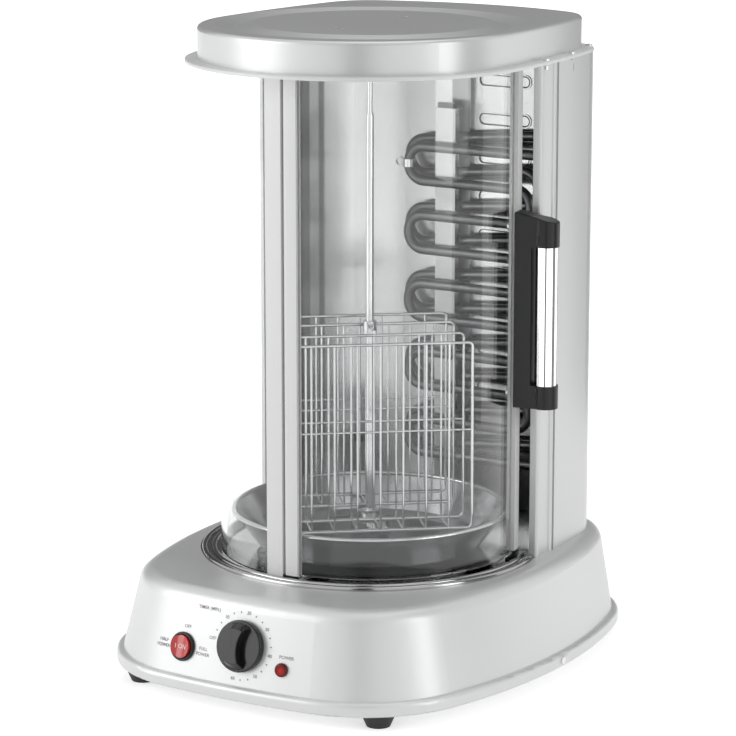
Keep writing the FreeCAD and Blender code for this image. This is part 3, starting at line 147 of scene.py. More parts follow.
def mesh_object(name, mesh, material):
    obj = bpy.data.objects.new(name, mesh)
    bpy.context.scene.collection.objects.link(obj)
    mesh.materials.clear()
    mesh.materials.append(material)
    return obj


def settle(obj, body, matrix=None):
    """Bakes a matrix into the mesh, so that the object stays at the origin, and hands it over."""
    if matrix is not None:
        obj.data.transform(matrix)
    obj.data.update()
    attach(obj, body)
    return obj


def settings():
    return bpy.context.scene.skewer_grill


# ------------------------------------------------------------------ shader helpers
MIX_FIRST = 6
MIX_SECOND = 7
MIX_RESULT = 2
# Blend, in the normal's height, between the lit and the shaded colour of the painted facing shade.
FACING_BLEND = 0.1


def new_material(name):
    mat = bpy.data.materials.new(name)
    mat.use_nodes = True
    mat.node_tree.nodes.clear()
    out = mat.node_tree.nodes.new("ShaderNodeOutputMaterial")
    shader = mat.node_tree.nodes.new("ShaderNodeBsdfPrincipled")
    mat.node_tree.links.new(shader.outputs["BSDF"], out.inputs["Surface"])
    return mat, shader


def add(tree, kind, **values):
    node = tree.nodes.new(kind)
    for key, value in values.items():
        if hasattr(node, key):
            setattr(node, key, value)
        else:
            node.inputs[key].default_value = value
    return node


def new_group(name, inputs, outputs):
    tree = bpy.data.node_groups.new(name, "ShaderNodeTree")
    for label, kind, value in inputs:
        socket = tree.interface.new_socket(label, in_out="INPUT", socket_type=kind)
        if value is not None:
            socket.default_value = value
    for label, kind in outputs:
        tree.interface.new_socket(label, in_out="OUTPUT", socket_type=kind)
    return tree, tree.nodes.new("NodeGroupInput"), tree.nodes.new("NodeGroupOutput")


def ramp(tree, source, low, high, first, last):
    """Map Range node that spreads a value between two limits."""
    node = tree.nodes.new("ShaderNodeMapRange")
    tree.links.new(source, node.inputs["Value"])
    node.inputs["From Min"].default_value = low
    node.inputs["From Max"].default_value = high
    node.inputs["To Min"].default_value = first
    node.inputs["To Max"].default_value = last
    return node.outputs["Result"]


def mix_colour(tree, factor, first, second):
    """Mix node whose colour sockets are found by place, since their names repeat."""
    node = tree.nodes.new("ShaderNodeMix")
    node.data_type = "RGBA"
    tree.links.new(factor, node.inputs["Factor"])
    tree.links.new(first, node.inputs[MIX_FIRST])
    tree.links.new(second, node.inputs[MIX_SECOND])
    return node.outputs[MIX_RESULT]


def object_space(tree):
    return tree.nodes.new("ShaderNodeTexCoord").outputs["Object"]


def grain_sockets(first, tone_change, roughness, roughness_change, colour):
    """Inputs and outputs that both grain groups share, after their own first input."""
    inputs = [first, ("Colour", "NodeSocketColor", colour),
              ("Tone Change", "NodeSocketFloat", tone_change),
              ("Roughness", "NodeSocketFloat", roughness),
              ("Roughness Change", "NodeSocketFloat", roughness_change)]
    outputs = [("Colour", "NodeSocketColor"), ("Roughness", "NodeSocketFloat"),
               ("Height", "NodeSocketFloat")]
    return inputs, outputs


def spread_grain(tree, gin, gout, noise, height):
    """Lets a noise shift the tone and the roughness about their set values."""
    centred = add(tree, "ShaderNodeMath", operation="SUBTRACT")
    tree.links.new(noise, centred.inputs[0])
    centred.inputs[1].default_value = 0.5
    shift = add(tree, "ShaderNodeMath", operation="MULTIPLY_ADD")
    tree.links.new(centred.outputs[0], shift.inputs[0])
    tree.links.new(gin.outputs["Tone Change"], shift.inputs[1])
    shift.inputs[2].default_value = 1.0
    tone = add(tree, "ShaderNodeVectorMath", operation="SCALE")
    tree.links.new(gin.outputs["Colour"], tone.inputs[0])
    tree.links.new(shift.outputs[0], tone.inputs["Scale"])
    rough = add(tree, "ShaderNodeMath", operation="MULTIPLY_ADD")
    tree.links.new(centred.outputs[0], rough.inputs[0])
    tree.links.new(gin.outputs["Roughness Change"], rough.inputs[1])
    tree.links.new(gin.outputs["Roughness"], rough.inputs[2])
    tree.links.new(tone.outputs[0], gout.inputs["Colour"])
    tree.links.new(rough.outputs[0], gout.inputs["Roughness"])
    tree.links.new(height, gout.inputs["Height"])


def build_speckle_group():
    """Fine unevenness of a sprayed or moulded surface: tone, roughness and a height."""
    inputs, outputs = grain_sockets(("Scale", "NodeSocketFloat", 900.0),
                                    0.03, 0.4, 0.06, (0.8, 0.8, 0.8, 1))
    tree, gin, gout = new_group("surface_speckle", inputs, outputs)
    place = object_space(tree)
    fine = add(tree, "ShaderNodeTexNoise", Detail=3.0)
    tree.links.new(place, fine.inputs["Vector"])
    tree.links.new(gin.outputs["Scale"], fine.inputs["Scale"])
    broad = add(tree, "ShaderNodeTexNoise", Detail=4.0, Scale=14.0)
    tree.links.new(place, broad.inputs["Vector"])
    spread_grain(tree, gin, gout, broad.outputs["Fac"], fine.outputs["Fac"])
    return tree


def build_brush_group():
    """Rolling or brushing marks: noise drawn out along one axis."""
    inputs, outputs = grain_sockets(("Stretch", "NodeSocketVector", (900.0, 900.0, 6.0)),
                                    0.12, 0.25, 0.2, (0.7, 0.7, 0.7, 1))
    tree, gin, gout = new_group("brushed_grain", inputs, outputs)
    scaled = add(tree, "ShaderNodeVectorMath", operation="MULTIPLY")
    tree.links.new(object_space(tree), scaled.inputs[0])
    tree.links.new(gin.outputs["Stretch"], scaled.inputs[1])
    grain = add(tree, "ShaderNodeTexNoise", Detail=2.0, Scale=1.0)
    tree.links.new(scaled.outputs[0], grain.inputs["Vector"])
    spread_grain(tree, gin, gout, grain.outputs["Fac"], grain.outputs["Fac"])
    return tree


def build_painted_reflection_group():
    """Painted reflections of a polished sheet where it bends at the chamber's corners: upright
    light and dark bands.
    """
    tree, gin, gout = new_group(
        "bend_painted_reflections",
        [("Colour", "NodeSocketColor", (0.7, 0.7, 0.7, 1))],
        [("Colour", "NodeSocketColor")])
    split = tree.nodes.new("ShaderNodeSeparateXYZ")
    tree.links.new(object_space(tree), split.inputs[0])
    across = ramp(tree, split.outputs["Y"], BEND_START * MM, BEND_END * MM, 0.0, 1.0)
    # The ramp paints the reflection bands across the bend, along Y.
    tone = tree.nodes.new("ShaderNodeValToRGB")
    tree.links.new(across, tone.inputs["Fac"])
    stops = tone.color_ramp.elements
    while len(stops) < len(BEND_REFLECTION_TONES):
        stops.new(0.5)
    for stop, (place, shade) in zip(stops, BEND_REFLECTION_TONES):
        stop.position = place
        stop.color = (shade, shade, shade, 1)
    scaled = add(tree, "ShaderNodeVectorMath", operation="MULTIPLY")
    tree.links.new(gin.outputs["Colour"], scaled.inputs[0])
    tree.links.new(tone.outputs["Color"], scaled.inputs[1])
    tree.links.new(scaled.outputs[0], gout.inputs["Colour"])
    return tree


def build_facing_shade_group():
    """Painted shade: one colour for the faces that look up and another, darker one for those that
    look down, as if lit from above.
    """
    tree, gin, gout = new_group(
        "facing_painted_shade",
        [("Up", "NodeSocketColor", (0.5, 0.5, 0.5, 1)),
         ("Down", "NodeSocketColor", (0.3, 0.3, 0.3, 1))],
        [("Colour", "NodeSocketColor")])
    coord = tree.nodes.new("ShaderNodeTexCoord")
    split = tree.nodes.new("ShaderNodeSeparateXYZ")
    tree.links.new(coord.outputs["Normal"], split.inputs[0])
    share = ramp(tree, split.outputs["Z"], -FACING_BLEND, FACING_BLEND, 0.0, 1.0)
    colour = mix_colour(tree, share, gin.outputs["Down"], gin.outputs["Up"])
    tree.links.new(colour, gout.inputs["Colour"])
    return tree


def feed_colour(mat, grain_tree, group, **values):
    """Puts a colour group in front of the grain group of a material."""
    tree = mat.node_tree
    node = place_group(mat, group, **values)
    grain = next(item for item in tree.nodes
                 if item.type == "GROUP" and item.node_tree == grain_tree)
    tree.links.new(node.outputs["Colour"], grain.inputs["Colour"])


def build_lens_highlight_group():
    """Painted highlight and shade of a domed lens: bright round a point on its face and dark
    towards its rim.
    """
    tree, gin, gout = new_group(
        "lens_painted_highlight",
        [("Colour", "NodeSocketColor", (0.6, 0.02, 0.02, 1)),
         ("Centre", "NodeSocketVector", (0.0, 0.0, 0.0)),
         ("Reach", "NodeSocketFloat", 0.005), ("Rim Tone", "NodeSocketFloat", 0.2)],
        [("Colour", "NodeSocketColor")])
    away = add(tree, "ShaderNodeVectorMath", operation="DISTANCE")
    tree.links.new(object_space(tree), away.inputs[0])
    tree.links.new(gin.outputs["Centre"], away.inputs[1])
    share = add(tree, "ShaderNodeMath", operation="DIVIDE")
    tree.links.new(away.outputs["Value"], share.inputs[0])
    tree.links.new(gin.outputs["Reach"], share.inputs[1])
    tone = tree.nodes.new("ShaderNodeMapRange")
    tone.interpolation_type = "SMOOTHSTEP"
    tree.links.new(share.outputs[0], tone.inputs["Value"])
    tone.inputs["To Min"].default_value = 1.0
    tree.links.new(gin.outputs["Rim Tone"], tone.inputs["To Max"])
    scaled = add(tree, "ShaderNodeVectorMath", operation="SCALE")
    tree.links.new(gin.outputs["Colour"], scaled.inputs[0])
    tree.links.new(tone.outputs["Result"], scaled.inputs["Scale"])
    tree.links.new(scaled.outputs[0], gout.inputs["Colour"])
    return tree


def place_group(mat, group, **values):
    """Puts a node group in a material and sets its inputs."""
    node = mat.node_tree.nodes.new("ShaderNodeGroup")
    node.node_tree = group
    for key, value in values.items():
        node.inputs[key.replace("_", " ")].default_value = value
    return node


def use_group(mat, shader, group, bump, **values):
    """Places a surface group in a material and feeds colour, roughness and bump."""
    tree = mat.node_tree
    node = place_group(mat, group, **values)
    tree.links.new(node.outputs["Colour"], shader.inputs["Base Color"])
    tree.links.new(node.outputs["Roughness"], shader.inputs["Roughness"])
    if bump:
        height = add(tree, "ShaderNodeBump", Strength=bump, Distance=GRAIN_DEPTH)
        tree.links.new(node.outputs["Height"], height.inputs["Height"])
        tree.links.new(height.outputs["Normal"], shader.inputs["Normal"])


# Paints: share of the paint colour, roughness and metallic share. The share lightens or darkens the
# one paint colour part by part, as painted light and shade for how the light falls on each part.
LIT_AND_SHADED_PAINTS = {
    "silver_paint": (1.04, 0.40, 0.36),
    "flange_paint": (1.1, 0.5, 0.1),
    "housing_paint": (0.86, 0.38, 0.45),
    "lid_paint": (0.9, 0.34, 0.45),
}
STILE_GREY = (0.78, 0.78, 0.78)
STILE_ROUGHNESS = 0.45
STILE_METALLIC = 0.05
PAINT_COAT = 0.25
PAINT_GRAIN = 1400.0
# Metals: colour, roughness, grain stretch, tone change, bump and smear of a highlight.
METALS = {
    "liner_steel": ((0.64, 0.64, 0.64), 0.24, (24.0, 24.0, 0.5), 0.35, 0.0, 1.0),
    "channel_steel": ((0.34, 0.34, 0.34), 0.30, (60.0, 60.0, 0.5), 0.35, 0.0, 0.9),
    "bracket_steel": ((0.30, 0.30, 0.30), 0.24, (60.0, 60.0, 1.0), 0.3, 0.0, 0.0),
    "floor_steel": ((0.40, 0.40, 0.40), 0.12, (12.0, 12.0, 12.0), 0.1, 0.0, 0.0),
    # Near-black colour of the loops of painted shade at the edges of the liner's pressed slots.
    "slot_shade": ((0.10, 0.10, 0.10), 0.4, (60.0, 60.0, 60.0), 0.2, 0.0, 0.0),
    "chrome_wire": ((0.54, 0.54, 0.55), 0.16, (200.0, 200.0, 200.0), 0.04, 0.0, 0.0),
    "spindle_steel": ((0.62, 0.62, 0.63), 0.2, (400.0, 400.0, 8.0), 0.1, 0.0, 0.0),
    "polished_steel": ((0.90, 0.90, 0.90), 0.06, (900.0, 900.0, 3.0), 0.04, 0.0, 0.0),
    "chrome_dish": ((0.40, 0.40, 0.41), 0.14, (14.0, 14.0, 2.0), 0.5, 0.0, 0.0),
    "plated_screw": ((0.78, 0.78, 0.78), 0.25, (900.0, 900.0, 900.0), 0.1, 0.02, 0.0),
    "heater_tube": ((0.11, 0.11, 0.115), 0.34, (500.0, 60.0, 60.0), 0.5, 0.05, 0.0),
    "motor_can": ((0.55, 0.56, 0.57), 0.35, (300.0, 300.0, 300.0), 0.1, 0.02, 0.0),
}
# Plastics, rubber, ceramic and print: colour, roughness, bump and specular level.
PLASTICS = {
    "black_plastic": ((0.015, 0.015, 0.016), 0.3, 0.08, 0.3),
    "knob_plastic": ((0.012, 0.012, 0.013), 0.2, 0.03, 0.4),
    "grey_plastic": ((0.35, 0.35, 0.36), 0.45, 0.08, 0.5),
    "foot_rubber": ((0.02, 0.02, 0.02), 0.6, 0.2, 0.5),
    "ceramic": ((0.80, 0.76, 0.68), 0.35, 0.08, 0.5),
    "mark_white": ((0.85, 0.83, 0.82), 0.5, 0.0, 0.5),
}
PLASTIC_GRAIN = 2500.0
LABEL_ROUGHNESS = 0.5
LABEL_SPECULAR = 0.5
RED_GRAIN = 600.0
RED_ROUGHNESS = 0.16
RED_COAT = 0.6
RED_COAT_ROUGHNESS = 0.05
GLASS_TINT = (0.97, 0.98, 0.975, 1)
GLASS_GRAIN = 30.0
GLASS_IOR = 1.45
LINER_COLOUR = (0.96, 0.96, 0.96, 1)
# Painted shade on the drip pan: the lit colour of its faces that look up and the shaded colour of
# those that look down.
DISH_PAINTED_SHADES = {"Up": (0.50, 0.50, 0.51, 1), "Down": (0.27, 0.27, 0.28, 1)}
GRAIN_DEPTH = 0.0002
# Painted highlight on the pilot lamp: the point it is brightest round and its reach, in
# millimetres, and the painted shade at its rim.
LAMP_HIGHLIGHT_POINT = Vector((0.4, -0.6, LAMP_FACE))
LAMP_REACH = 5.2
LAMP_RIM_SHADE = 0.12
LAMP_ROUGHNESS = 0.12
LAMP_SPECULAR = 0.3


def opaque(colour, share=1.0):
    return tuple(share * part for part in colour) + (1,)


def build_materials():
    """All finishes of the grill, by name."""
    sizes = settings()
    speckle = build_speckle_group()
    brush = build_brush_group()
    mats = {}

    def shader_of(name):
        mats[name], shader = new_material(name)
        return mats[name], shader

    def paint(name, colour, rough, metallic):
        mat, shader = shader_of(name)
        use_group(mat, shader, speckle, 0.05, Scale=PAINT_GRAIN, Colour=colour, Tone_Change=0.02,
                  Roughness=rough, Roughness_Change=0.05)
        shader.inputs["Metallic"].default_value = metallic
        shader.inputs["Coat Weight"].default_value = PAINT_COAT
        shader.inputs["Coat Roughness"].default_value = PAINT_COAT

    def metal(name, colour, rough, stretch, change, bump, smear):
        mat, shader = shader_of(name)
        use_group(mat, shader, brush, bump, Stretch=stretch, Colour=opaque(colour),
                  Tone_Change=change, Roughness=rough, Roughness_Change=0.1)
        shader.inputs["Metallic"].default_value = 1.0
        shader.inputs["Anisotropic"].default_value = smear

    def plastic(name, colour, rough, bump, specular):
        mat, shader = shader_of(name)
        use_group(mat, shader, speckle, bump, Scale=PLASTIC_GRAIN, Colour=opaque(colour),
                  Tone_Change=0.15, Roughness=rough, Roughness_Change=0.1)
        shader.inputs["Specular IOR Level"].default_value = specular

    # Each part's share of the one paint colour is painted light or shade.
    for name, (share, rough, metallic) in LIT_AND_SHADED_PAINTS.items():
        paint(name, opaque(sizes.paint_colour, share), rough, metallic)
    paint("stile_satin", opaque(STILE_GREY), STILE_ROUGHNESS, STILE_METALLIC)
    for name, values in METALS.items():
        metal(name, *values)
    for name, values in PLASTICS.items():
        plastic(name, *values)
    plastic("label_grey", sizes.label_colour, LABEL_ROUGHNESS, 0.0, LABEL_SPECULAR)
    # The liner's colour goes through the painted reflection bands.
    feed_colour(mats["liner_steel"], brush, build_painted_reflection_group(), Colour=LINER_COLOUR)
    # The drip pan's colour carries painted shade on its down-facing faces.
    feed_colour(mats["chrome_dish"], brush, build_facing_shade_group(), **DISH_PAINTED_SHADES)

    mat, shader = shader_of("red_cap")
    use_group(mat, shader, speckle, 0.0, Scale=RED_GRAIN, Colour=opaque(sizes.red_colour),
              Tone_Change=0.2, Roughness=RED_ROUGHNESS, Roughness_Change=0.04)
    shader.inputs["Coat Weight"].default_value = RED_COAT
    shader.inputs["Coat Roughness"].default_value = RED_COAT_ROUGHNESS

    # The pilot lamp's lens has its highlight and its rim shade painted into its colour.
    mat, shader = shader_of("lamp_jewel")
    lens_highlight = place_group(mat, build_lens_highlight_group(), Colour=opaque(sizes.red_colour),
                        Centre=wall_matrix(LAMP_PLACE) @ (LAMP_HIGHLIGHT_POINT * MM),
                        Reach=LAMP_REACH * MM, Rim_Tone=LAMP_RIM_SHADE)
    mat.node_tree.links.new(lens_highlight.outputs["Colour"], shader.inputs["Base Color"])
    shader.inputs["Roughness"].default_value = LAMP_ROUGHNESS
    shader.inputs["Specular IOR Level"].default_value = LAMP_SPECULAR

    mat, shader = shader_of("clear_glass")
    use_group(mat, shader, speckle, 0.0, Scale=GLASS_GRAIN, Colour=GLASS_TINT,
              Tone_Change=0.01, Roughness=0.0, Roughness_Change=0.0)
    shader.inputs["Transmission Weight"].default_value = 1.0
    shader.inputs["IOR"].default_value = GLASS_IOR
    return mats


FINISH = {
    "silver_paint": ["base_shell", "base_tray"],
    "flange_paint": ["flange_plate"],
    "housing_paint": ["rear_housing", "front_profile_left", "front_profile_right"],
    "lid_paint": ["lid_drum"],
    "stile_satin": ["fixed_front_stile", "fixed_side_stile", "door_hinge_stile",
                    "door_latch_stile"],
    "liner_steel": ["chamber_liner"],
    "channel_steel": ["liner_channel"],
    "bracket_steel": ["heater_bracket"],
    "floor_steel": ["floor_pan", "carrier_bottom", "top_bearing", "motor_spacers"],
    "spindle_steel": ["spit_rod", "drive_socket", "heater_clip"],
    "polished_steel": ["handle_grip"],
    "chrome_wire": ["carrier_top", "basket_front_inner", "basket_front_outer", "basket_front_floor",
                    "basket_rear_inner", "basket_rear_outer", "basket_rear_floor"],
    "chrome_dish": ["drip_pan"],
    "black_plastic": ["hinge_bushes", "door_rest", "handle_body", "switch_bezel", "floor_bush",
                      "cord_gland", "timer_body", "heat_limiter"],
    "knob_plastic": ["timer_knob"],
    "red_cap": ["switch_rocker"],
    "lamp_jewel": ["lamp_lens"],
    "clear_glass": ["glass_fixed", "glass_door"],
    "heater_tube": ["heater_front", "heater_rear"],
    "ceramic": ["heater_terminals"],
    "foot_rubber": ["feet"],
    "motor_can": ["gear_motor"],
    "grey_plastic": ["junction_block", "lamp_body"],
    "plated_screw": ["foot_screws", "tray_screws", "motor_screws", "flange_screws", "lid_screws",
                     "handle_screws", "hinge_pins", "drive_shaft", "timer_shaft"],
}


# ------------------------------------------------------------------ settings
class GrillSettings(bpy.types.PropertyGroup):
    paint_colour: bpy.props.FloatVectorProperty(
        name="Paint", description="Colour of the painted sheet metal", subtype="COLOR", size=3,
        default=(0.70, 0.705, 0.705), min=0.0, max=1.0)
    red_colour: bpy.props.FloatVectorProperty(
        name="Red caps", description="Colour of the rocker and the pilot lamp", subtype="COLOR",
        size=3, default=(0.60, 0.018, 0.014), min=0.0, max=1.0)
    label_colour: bpy.props.FloatVectorProperty(
        name="Labels", description="Colour of the printed marks", subtype="COLOR", size=3,
        default=(0.20, 0.20, 0.20), min=0.0, max=1.0)
    dial_radius: bpy.props.FloatProperty(
        name="Dial radius", description="Radius of the ring of minute marks", unit="LENGTH",
        default=0.0240, min=0.01, max=0.04)
    tick_count: bpy.props.IntProperty(
        name="Minute marks", description="Number of marks round the timer knob",
        default=19, min=4, max=61)
    letter_height: bpy.props.FloatProperty(
        name="Letter height", description="Height of the printed letters", unit="LENGTH",
        default=0.0025, min=0.001, max=0.01)
    camera_distance: bpy.props.FloatProperty(
        name="Camera distance", description="Level distance from the spindle to the camera",
        unit="LENGTH", default=2.3388, min=0.5, max=10.0)


class GRILL_OT_finishes(bpy.types.Operator):
    """Gives every piece of the grill its finish"""
    bl_idname = "skewer_grill.finishes"
    bl_label = "Finishes"

    def execute(self, context):
        mats = build_materials()
        for finish, nodes in FINISH.items():
            for node in nodes:
                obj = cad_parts[node]
                obj.data.materials.clear()
                obj.data.materials.append(mats[finish])
        return {"FINISHED"}


# ------------------------------------------------------------------ printed marks
def lay_on_wall(mesh, place):
    """Bends a flat mesh, drawn in metres about the origin, onto the curved front wall."""
    share = (place[1] - LIP_TOP) / WALL_HEIGHT
    radius = (FOOT_RADIUS * (1 - share) + HEAD_RADIUS * share) * MM
    for vertex in mesh.vertices:
        vertex.co.z += INK_LIFT * MM - vertex.co.x ** 2 / (2 * radius)
    mesh.transform(wall_matrix(place))


def word_meshes(words, height):
    """Meshes of words whose places are given in millimetres."""
    return [text_mesh(word, height, (x * MM, y * MM)) for word, x, y in words]


def text_mesh(words, height, place):
    """Flat letters as a mesh, centred on a place in the wall's own plane."""
    curve = bpy.data.curves.new("label", "FONT")
    curve.body = words
    curve.size = height * LETTER_SCALE
    curve.align_x = "CENTER"
    curve.align_y = "CENTER"
    curve.resolution_u = LETTER_STEPS
    curve.offset = height * LETTER_WEIGHT
    obj = bpy.data.objects.new("label", curve)
    bpy.context.scene.collection.objects.link(obj)
    depsgraph = bpy.context.evaluated_depsgraph_get()
    mesh = bpy.data.meshes.new_from_object(obj.evaluated_get(depsgraph))
    bpy.data.objects.remove(obj)
    mesh.transform(Matrix.Translation(Vector((place[0], place[1], 0))))
    return mesh


def joined(meshes, name):
    """One mesh of triangles from several."""
    work = bmesh.new()
    for mesh in meshes:
        work.from_mesh(mesh)
        bpy.data.meshes.remove(mesh)
    bmesh.ops.triangulate(work, faces=work.faces)
    result = bpy.data.meshes.new(name)
    work.to_mesh(result)
    work.free()
    return result


def tree_sockets(tree, inputs):
    tree.interface.new_socket("Geometry", in_out="INPUT", socket_type="NodeSocketGeometry")
    for label, kind, value in inputs:
        socket = tree.interface.new_socket(label, in_out="INPUT", socket_type=kind)
        if value is not None:
            socket.default_value = value
    tree.interface.new_socket("Geometry", in_out="OUTPUT", socket_type="NodeSocketGeometry")
    return tree.nodes.new("NodeGroupInput"), tree.nodes.new("NodeGroupOutput")


def tick_tree():
    """Bars standing on an arc; every so many places one is left out for a number."""
    tree = bpy.data.node_groups.new("minute_marks", "GeometryNodeTree")
    gin, gout = tree_sockets(tree, [
        ("Count", "NodeSocketInt", 19), ("Radius", "NodeSocketFloat", 0.02),
        ("Start", "NodeSocketFloat", 0.0), ("Sweep", "NodeSocketFloat", 1.0),
        ("Length", "NodeSocketFloat", 0.002), ("Width", "NodeSocketFloat", 0.0005),
        ("Number Every", "NodeSocketInt", 3), ("Ink", "NodeSocketMaterial", None)])
    arc = tree.nodes.new("GeometryNodeCurveArc")
    tree.links.new(gin.outputs["Count"], arc.inputs["Resolution"])
    tree.links.new(gin.outputs["Radius"], arc.inputs["Radius"])
    tree.links.new(gin.outputs["Start"], arc.inputs["Start Angle"])
    tree.links.new(gin.outputs["Sweep"], arc.inputs["Sweep Angle"])
    points = tree.nodes.new("GeometryNodeCurveToPoints")
    points.mode = "EVALUATED"
    tree.links.new(arc.outputs["Curve"], points.inputs["Curve"])
    bar = tree.nodes.new("GeometryNodeMeshGrid")
    bar.inputs["Vertices X"].default_value = 2
    bar.inputs["Vertices Y"].default_value = 2
    tree.links.new(gin.outputs["Width"], bar.inputs["Size X"])
    tree.links.new(gin.outputs["Length"], bar.inputs["Size Y"])
    position = tree.nodes.new("GeometryNodeInputPosition")
    align = tree.nodes.new("FunctionNodeAlignRotationToVector")
    align.axis = "Y"
    align.pivot_axis = "Z"
    tree.links.new(position.outputs[0], align.inputs["Vector"])
    index = tree.nodes.new("GeometryNodeInputIndex")
    left_over = add(tree, "ShaderNodeMath", operation="MODULO")
    tree.links.new(index.outputs[0], left_over.inputs[0])
    tree.links.new(gin.outputs["Number Every"], left_over.inputs[1])
    copies = tree.nodes.new("GeometryNodeInstanceOnPoints")
    tree.links.new(points.outputs["Points"], copies.inputs["Points"])
    tree.links.new(left_over.outputs[0], copies.inputs["Selection"])
    tree.links.new(bar.outputs["Mesh"], copies.inputs["Instance"])
    tree.links.new(align.outputs["Rotation"], copies.inputs["Rotation"])
    finish_tree(tree, copies.outputs["Instances"], gin, gout)
    return tree


def finish_tree(tree, instances, gin, gout):
    """Makes the copies real and gives them their material."""
    real = tree.nodes.new("GeometryNodeRealizeInstances")
    tree.links.new(instances, real.inputs["Geometry"])
    ink = tree.nodes.new("GeometryNodeSetMaterial")
    tree.links.new(real.outputs["Geometry"], ink.inputs["Geometry"])
    tree.links.new(gin.outputs["Ink"], ink.inputs["Material"])
    tree.links.new(ink.outputs["Geometry"], gout.inputs["Geometry"])


def slot_shade_tree():
    """Column of long rounded loops of thin dark wire for painted shade, drawn in the XY plane with
    the column along Y.
    """
    tree = bpy.data.node_groups.new("slot_shade_lines", "GeometryNodeTree")
    gin, gout = tree_sockets(tree, [
        ("Count", "NodeSocketInt", 9), ("Pitch", "NodeSocketFloat", 0.03),
        ("Length", "NodeSocketFloat", 0.045), ("Height", "NodeSocketFloat", 0.009),
        ("Thickness", "NodeSocketFloat", 0.0005), ("Ink", "NodeSocketMaterial", None)])
    loop = tree.nodes.new("GeometryNodeCurvePrimitiveQuadrilateral")
    tree.links.new(gin.outputs["Length"], loop.inputs["Width"])
    tree.links.new(gin.outputs["Height"], loop.inputs["Height"])
    half = add(tree, "ShaderNodeMath", operation="MULTIPLY")
    tree.links.new(gin.outputs["Height"], half.inputs[0])
    half.inputs[1].default_value = SLOT_ROUNDING
    corner = tree.nodes.new("GeometryNodeFilletCurve")
    corner.mode = "POLY"
    corner.inputs["Count"].default_value = SLOT_CORNER_STEPS
    tree.links.new(loop.outputs["Curve"], corner.inputs["Curve"])
    tree.links.new(half.outputs[0], corner.inputs["Radius"])
    section = tree.nodes.new("GeometryNodeCurvePrimitiveCircle")
    section.inputs["Resolution"].default_value = SLOT_WIRE_SIDES
    tree.links.new(gin.outputs["Thickness"], section.inputs["Radius"])
    wire = tree.nodes.new("GeometryNodeCurveToMesh")
    tree.links.new(corner.outputs["Curve"], wire.inputs["Curve"])
    tree.links.new(section.outputs["Curve"], wire.inputs["Profile Curve"])
    row = tree.nodes.new("GeometryNodeMeshLine")
    tree.links.new(gin.outputs["Count"], row.inputs["Count"])
    step = tree.nodes.new("ShaderNodeCombineXYZ")
    tree.links.new(gin.outputs["Pitch"], step.inputs["Y"])
    tree.links.new(step.outputs[0], row.inputs["Offset"])
    copies = tree.nodes.new("GeometryNodeInstanceOnPoints")
    tree.links.new(row.outputs["Mesh"], copies.inputs["Points"])
    tree.links.new(wire.outputs["Mesh"], copies.inputs["Instance"])
    finish_tree(tree, copies.outputs["Instances"], gin, gout)
    return tree


def baked(tree, values):
    """Runs a node tree on an empty object and returns its result as a plain mesh."""
    holder = bpy.data.objects.new(tree.name, bpy.data.meshes.new(tree.name))
    bpy.context.scene.collection.objects.link(holder)
    modifier = holder.modifiers.new(tree.name, "NODES")
    modifier.node_group = tree
    for item in tree.interface.items_tree:
        if item.in_out == "INPUT" and item.name in values:
            modifier[item.identifier] = values[item.name]
    depsgraph = bpy.context.evaluated_depsgraph_get()
    mesh = bpy.data.meshes.new_from_object(holder.evaluated_get(depsgraph))
    bpy.data.objects.remove(holder)
    return mesh


class GRILL_OT_dial(bpy.types.Operator):
    """Prints the minute marks and numbers round the timer knob"""
    bl_idname = "skewer_grill.dial"
    bl_label = "Timer dial"

    def execute(self, context):
        sizes = settings()
        ink = bpy.data.materials["label_grey"]
        start = math.radians(DIAL_START)
        sweep = math.radians(DIAL_SWEEP)
        high = sizes.letter_height
        radius = sizes.dial_radius
        marks = baked(tick_tree(), {"Count": sizes.tick_count, "Radius": radius,
                                    "Start": start, "Sweep": sweep,
                                    "Length": TICK_LENGTH * MM, "Width": TICK_WIDTH * MM,
                                    "Number Every": NUMBER_EVERY, "Ink": ink})
        parts = [marks]
        for i in range(0, sizes.tick_count, NUMBER_EVERY):
            angle = start + sweep * i / (sizes.tick_count - 1)
            words = "OFF" if i == 0 else str(NUMBER_STEP * i // NUMBER_EVERY)
            shift = OFF_SHIFT * MM if i == 0 else 0.0
            place = (radius * math.cos(angle) - shift, radius * math.sin(angle))
            parts.append(text_mesh(words, high, place))
        parts += word_meshes([DIAL_TITLE], high)
        mesh = joined(parts, "dial_print")
        lay_on_wall(mesh, KNOB_PLACE)
        settle(mesh_object("dial_print", mesh, ink), "cabinet")
        return {"FINISHED"}


class GRILL_OT_slot_shade_lines(bpy.types.Operator):
    """Dark loops of painted shade along the edges of the pressed slots in the liner"""
    bl_idname = "skewer_grill.slot_edges"
    bl_label = "Slot edges"

    def execute(self, context):
        ink = bpy.data.materials["slot_shade"]
        mesh = baked(slot_shade_tree(), {"Count": SLOT_COUNT, "Pitch": SLOT_PITCH * MM,
                                        "Length": SLOT_LENGTH * MM, "Height": SLOT_HEIGHT * MM,
                                        "Thickness": SLOT_WIRE * MM, "Ink": ink})
        lowest = SLOT_TOP - (SLOT_COUNT - 1) * SLOT_PITCH
        place = Vector((SLOT_MIDDLE, LINER_FACE - SLOT_PROUD, lowest)) * MM
        matrix = Matrix.Translation(place) @ Matrix.Rotation(math.radians(90), 4, "X")
        settle(mesh_object("slot_shade_lines", mesh, ink), "cabinet", matrix)
        return {"FINISHED"}


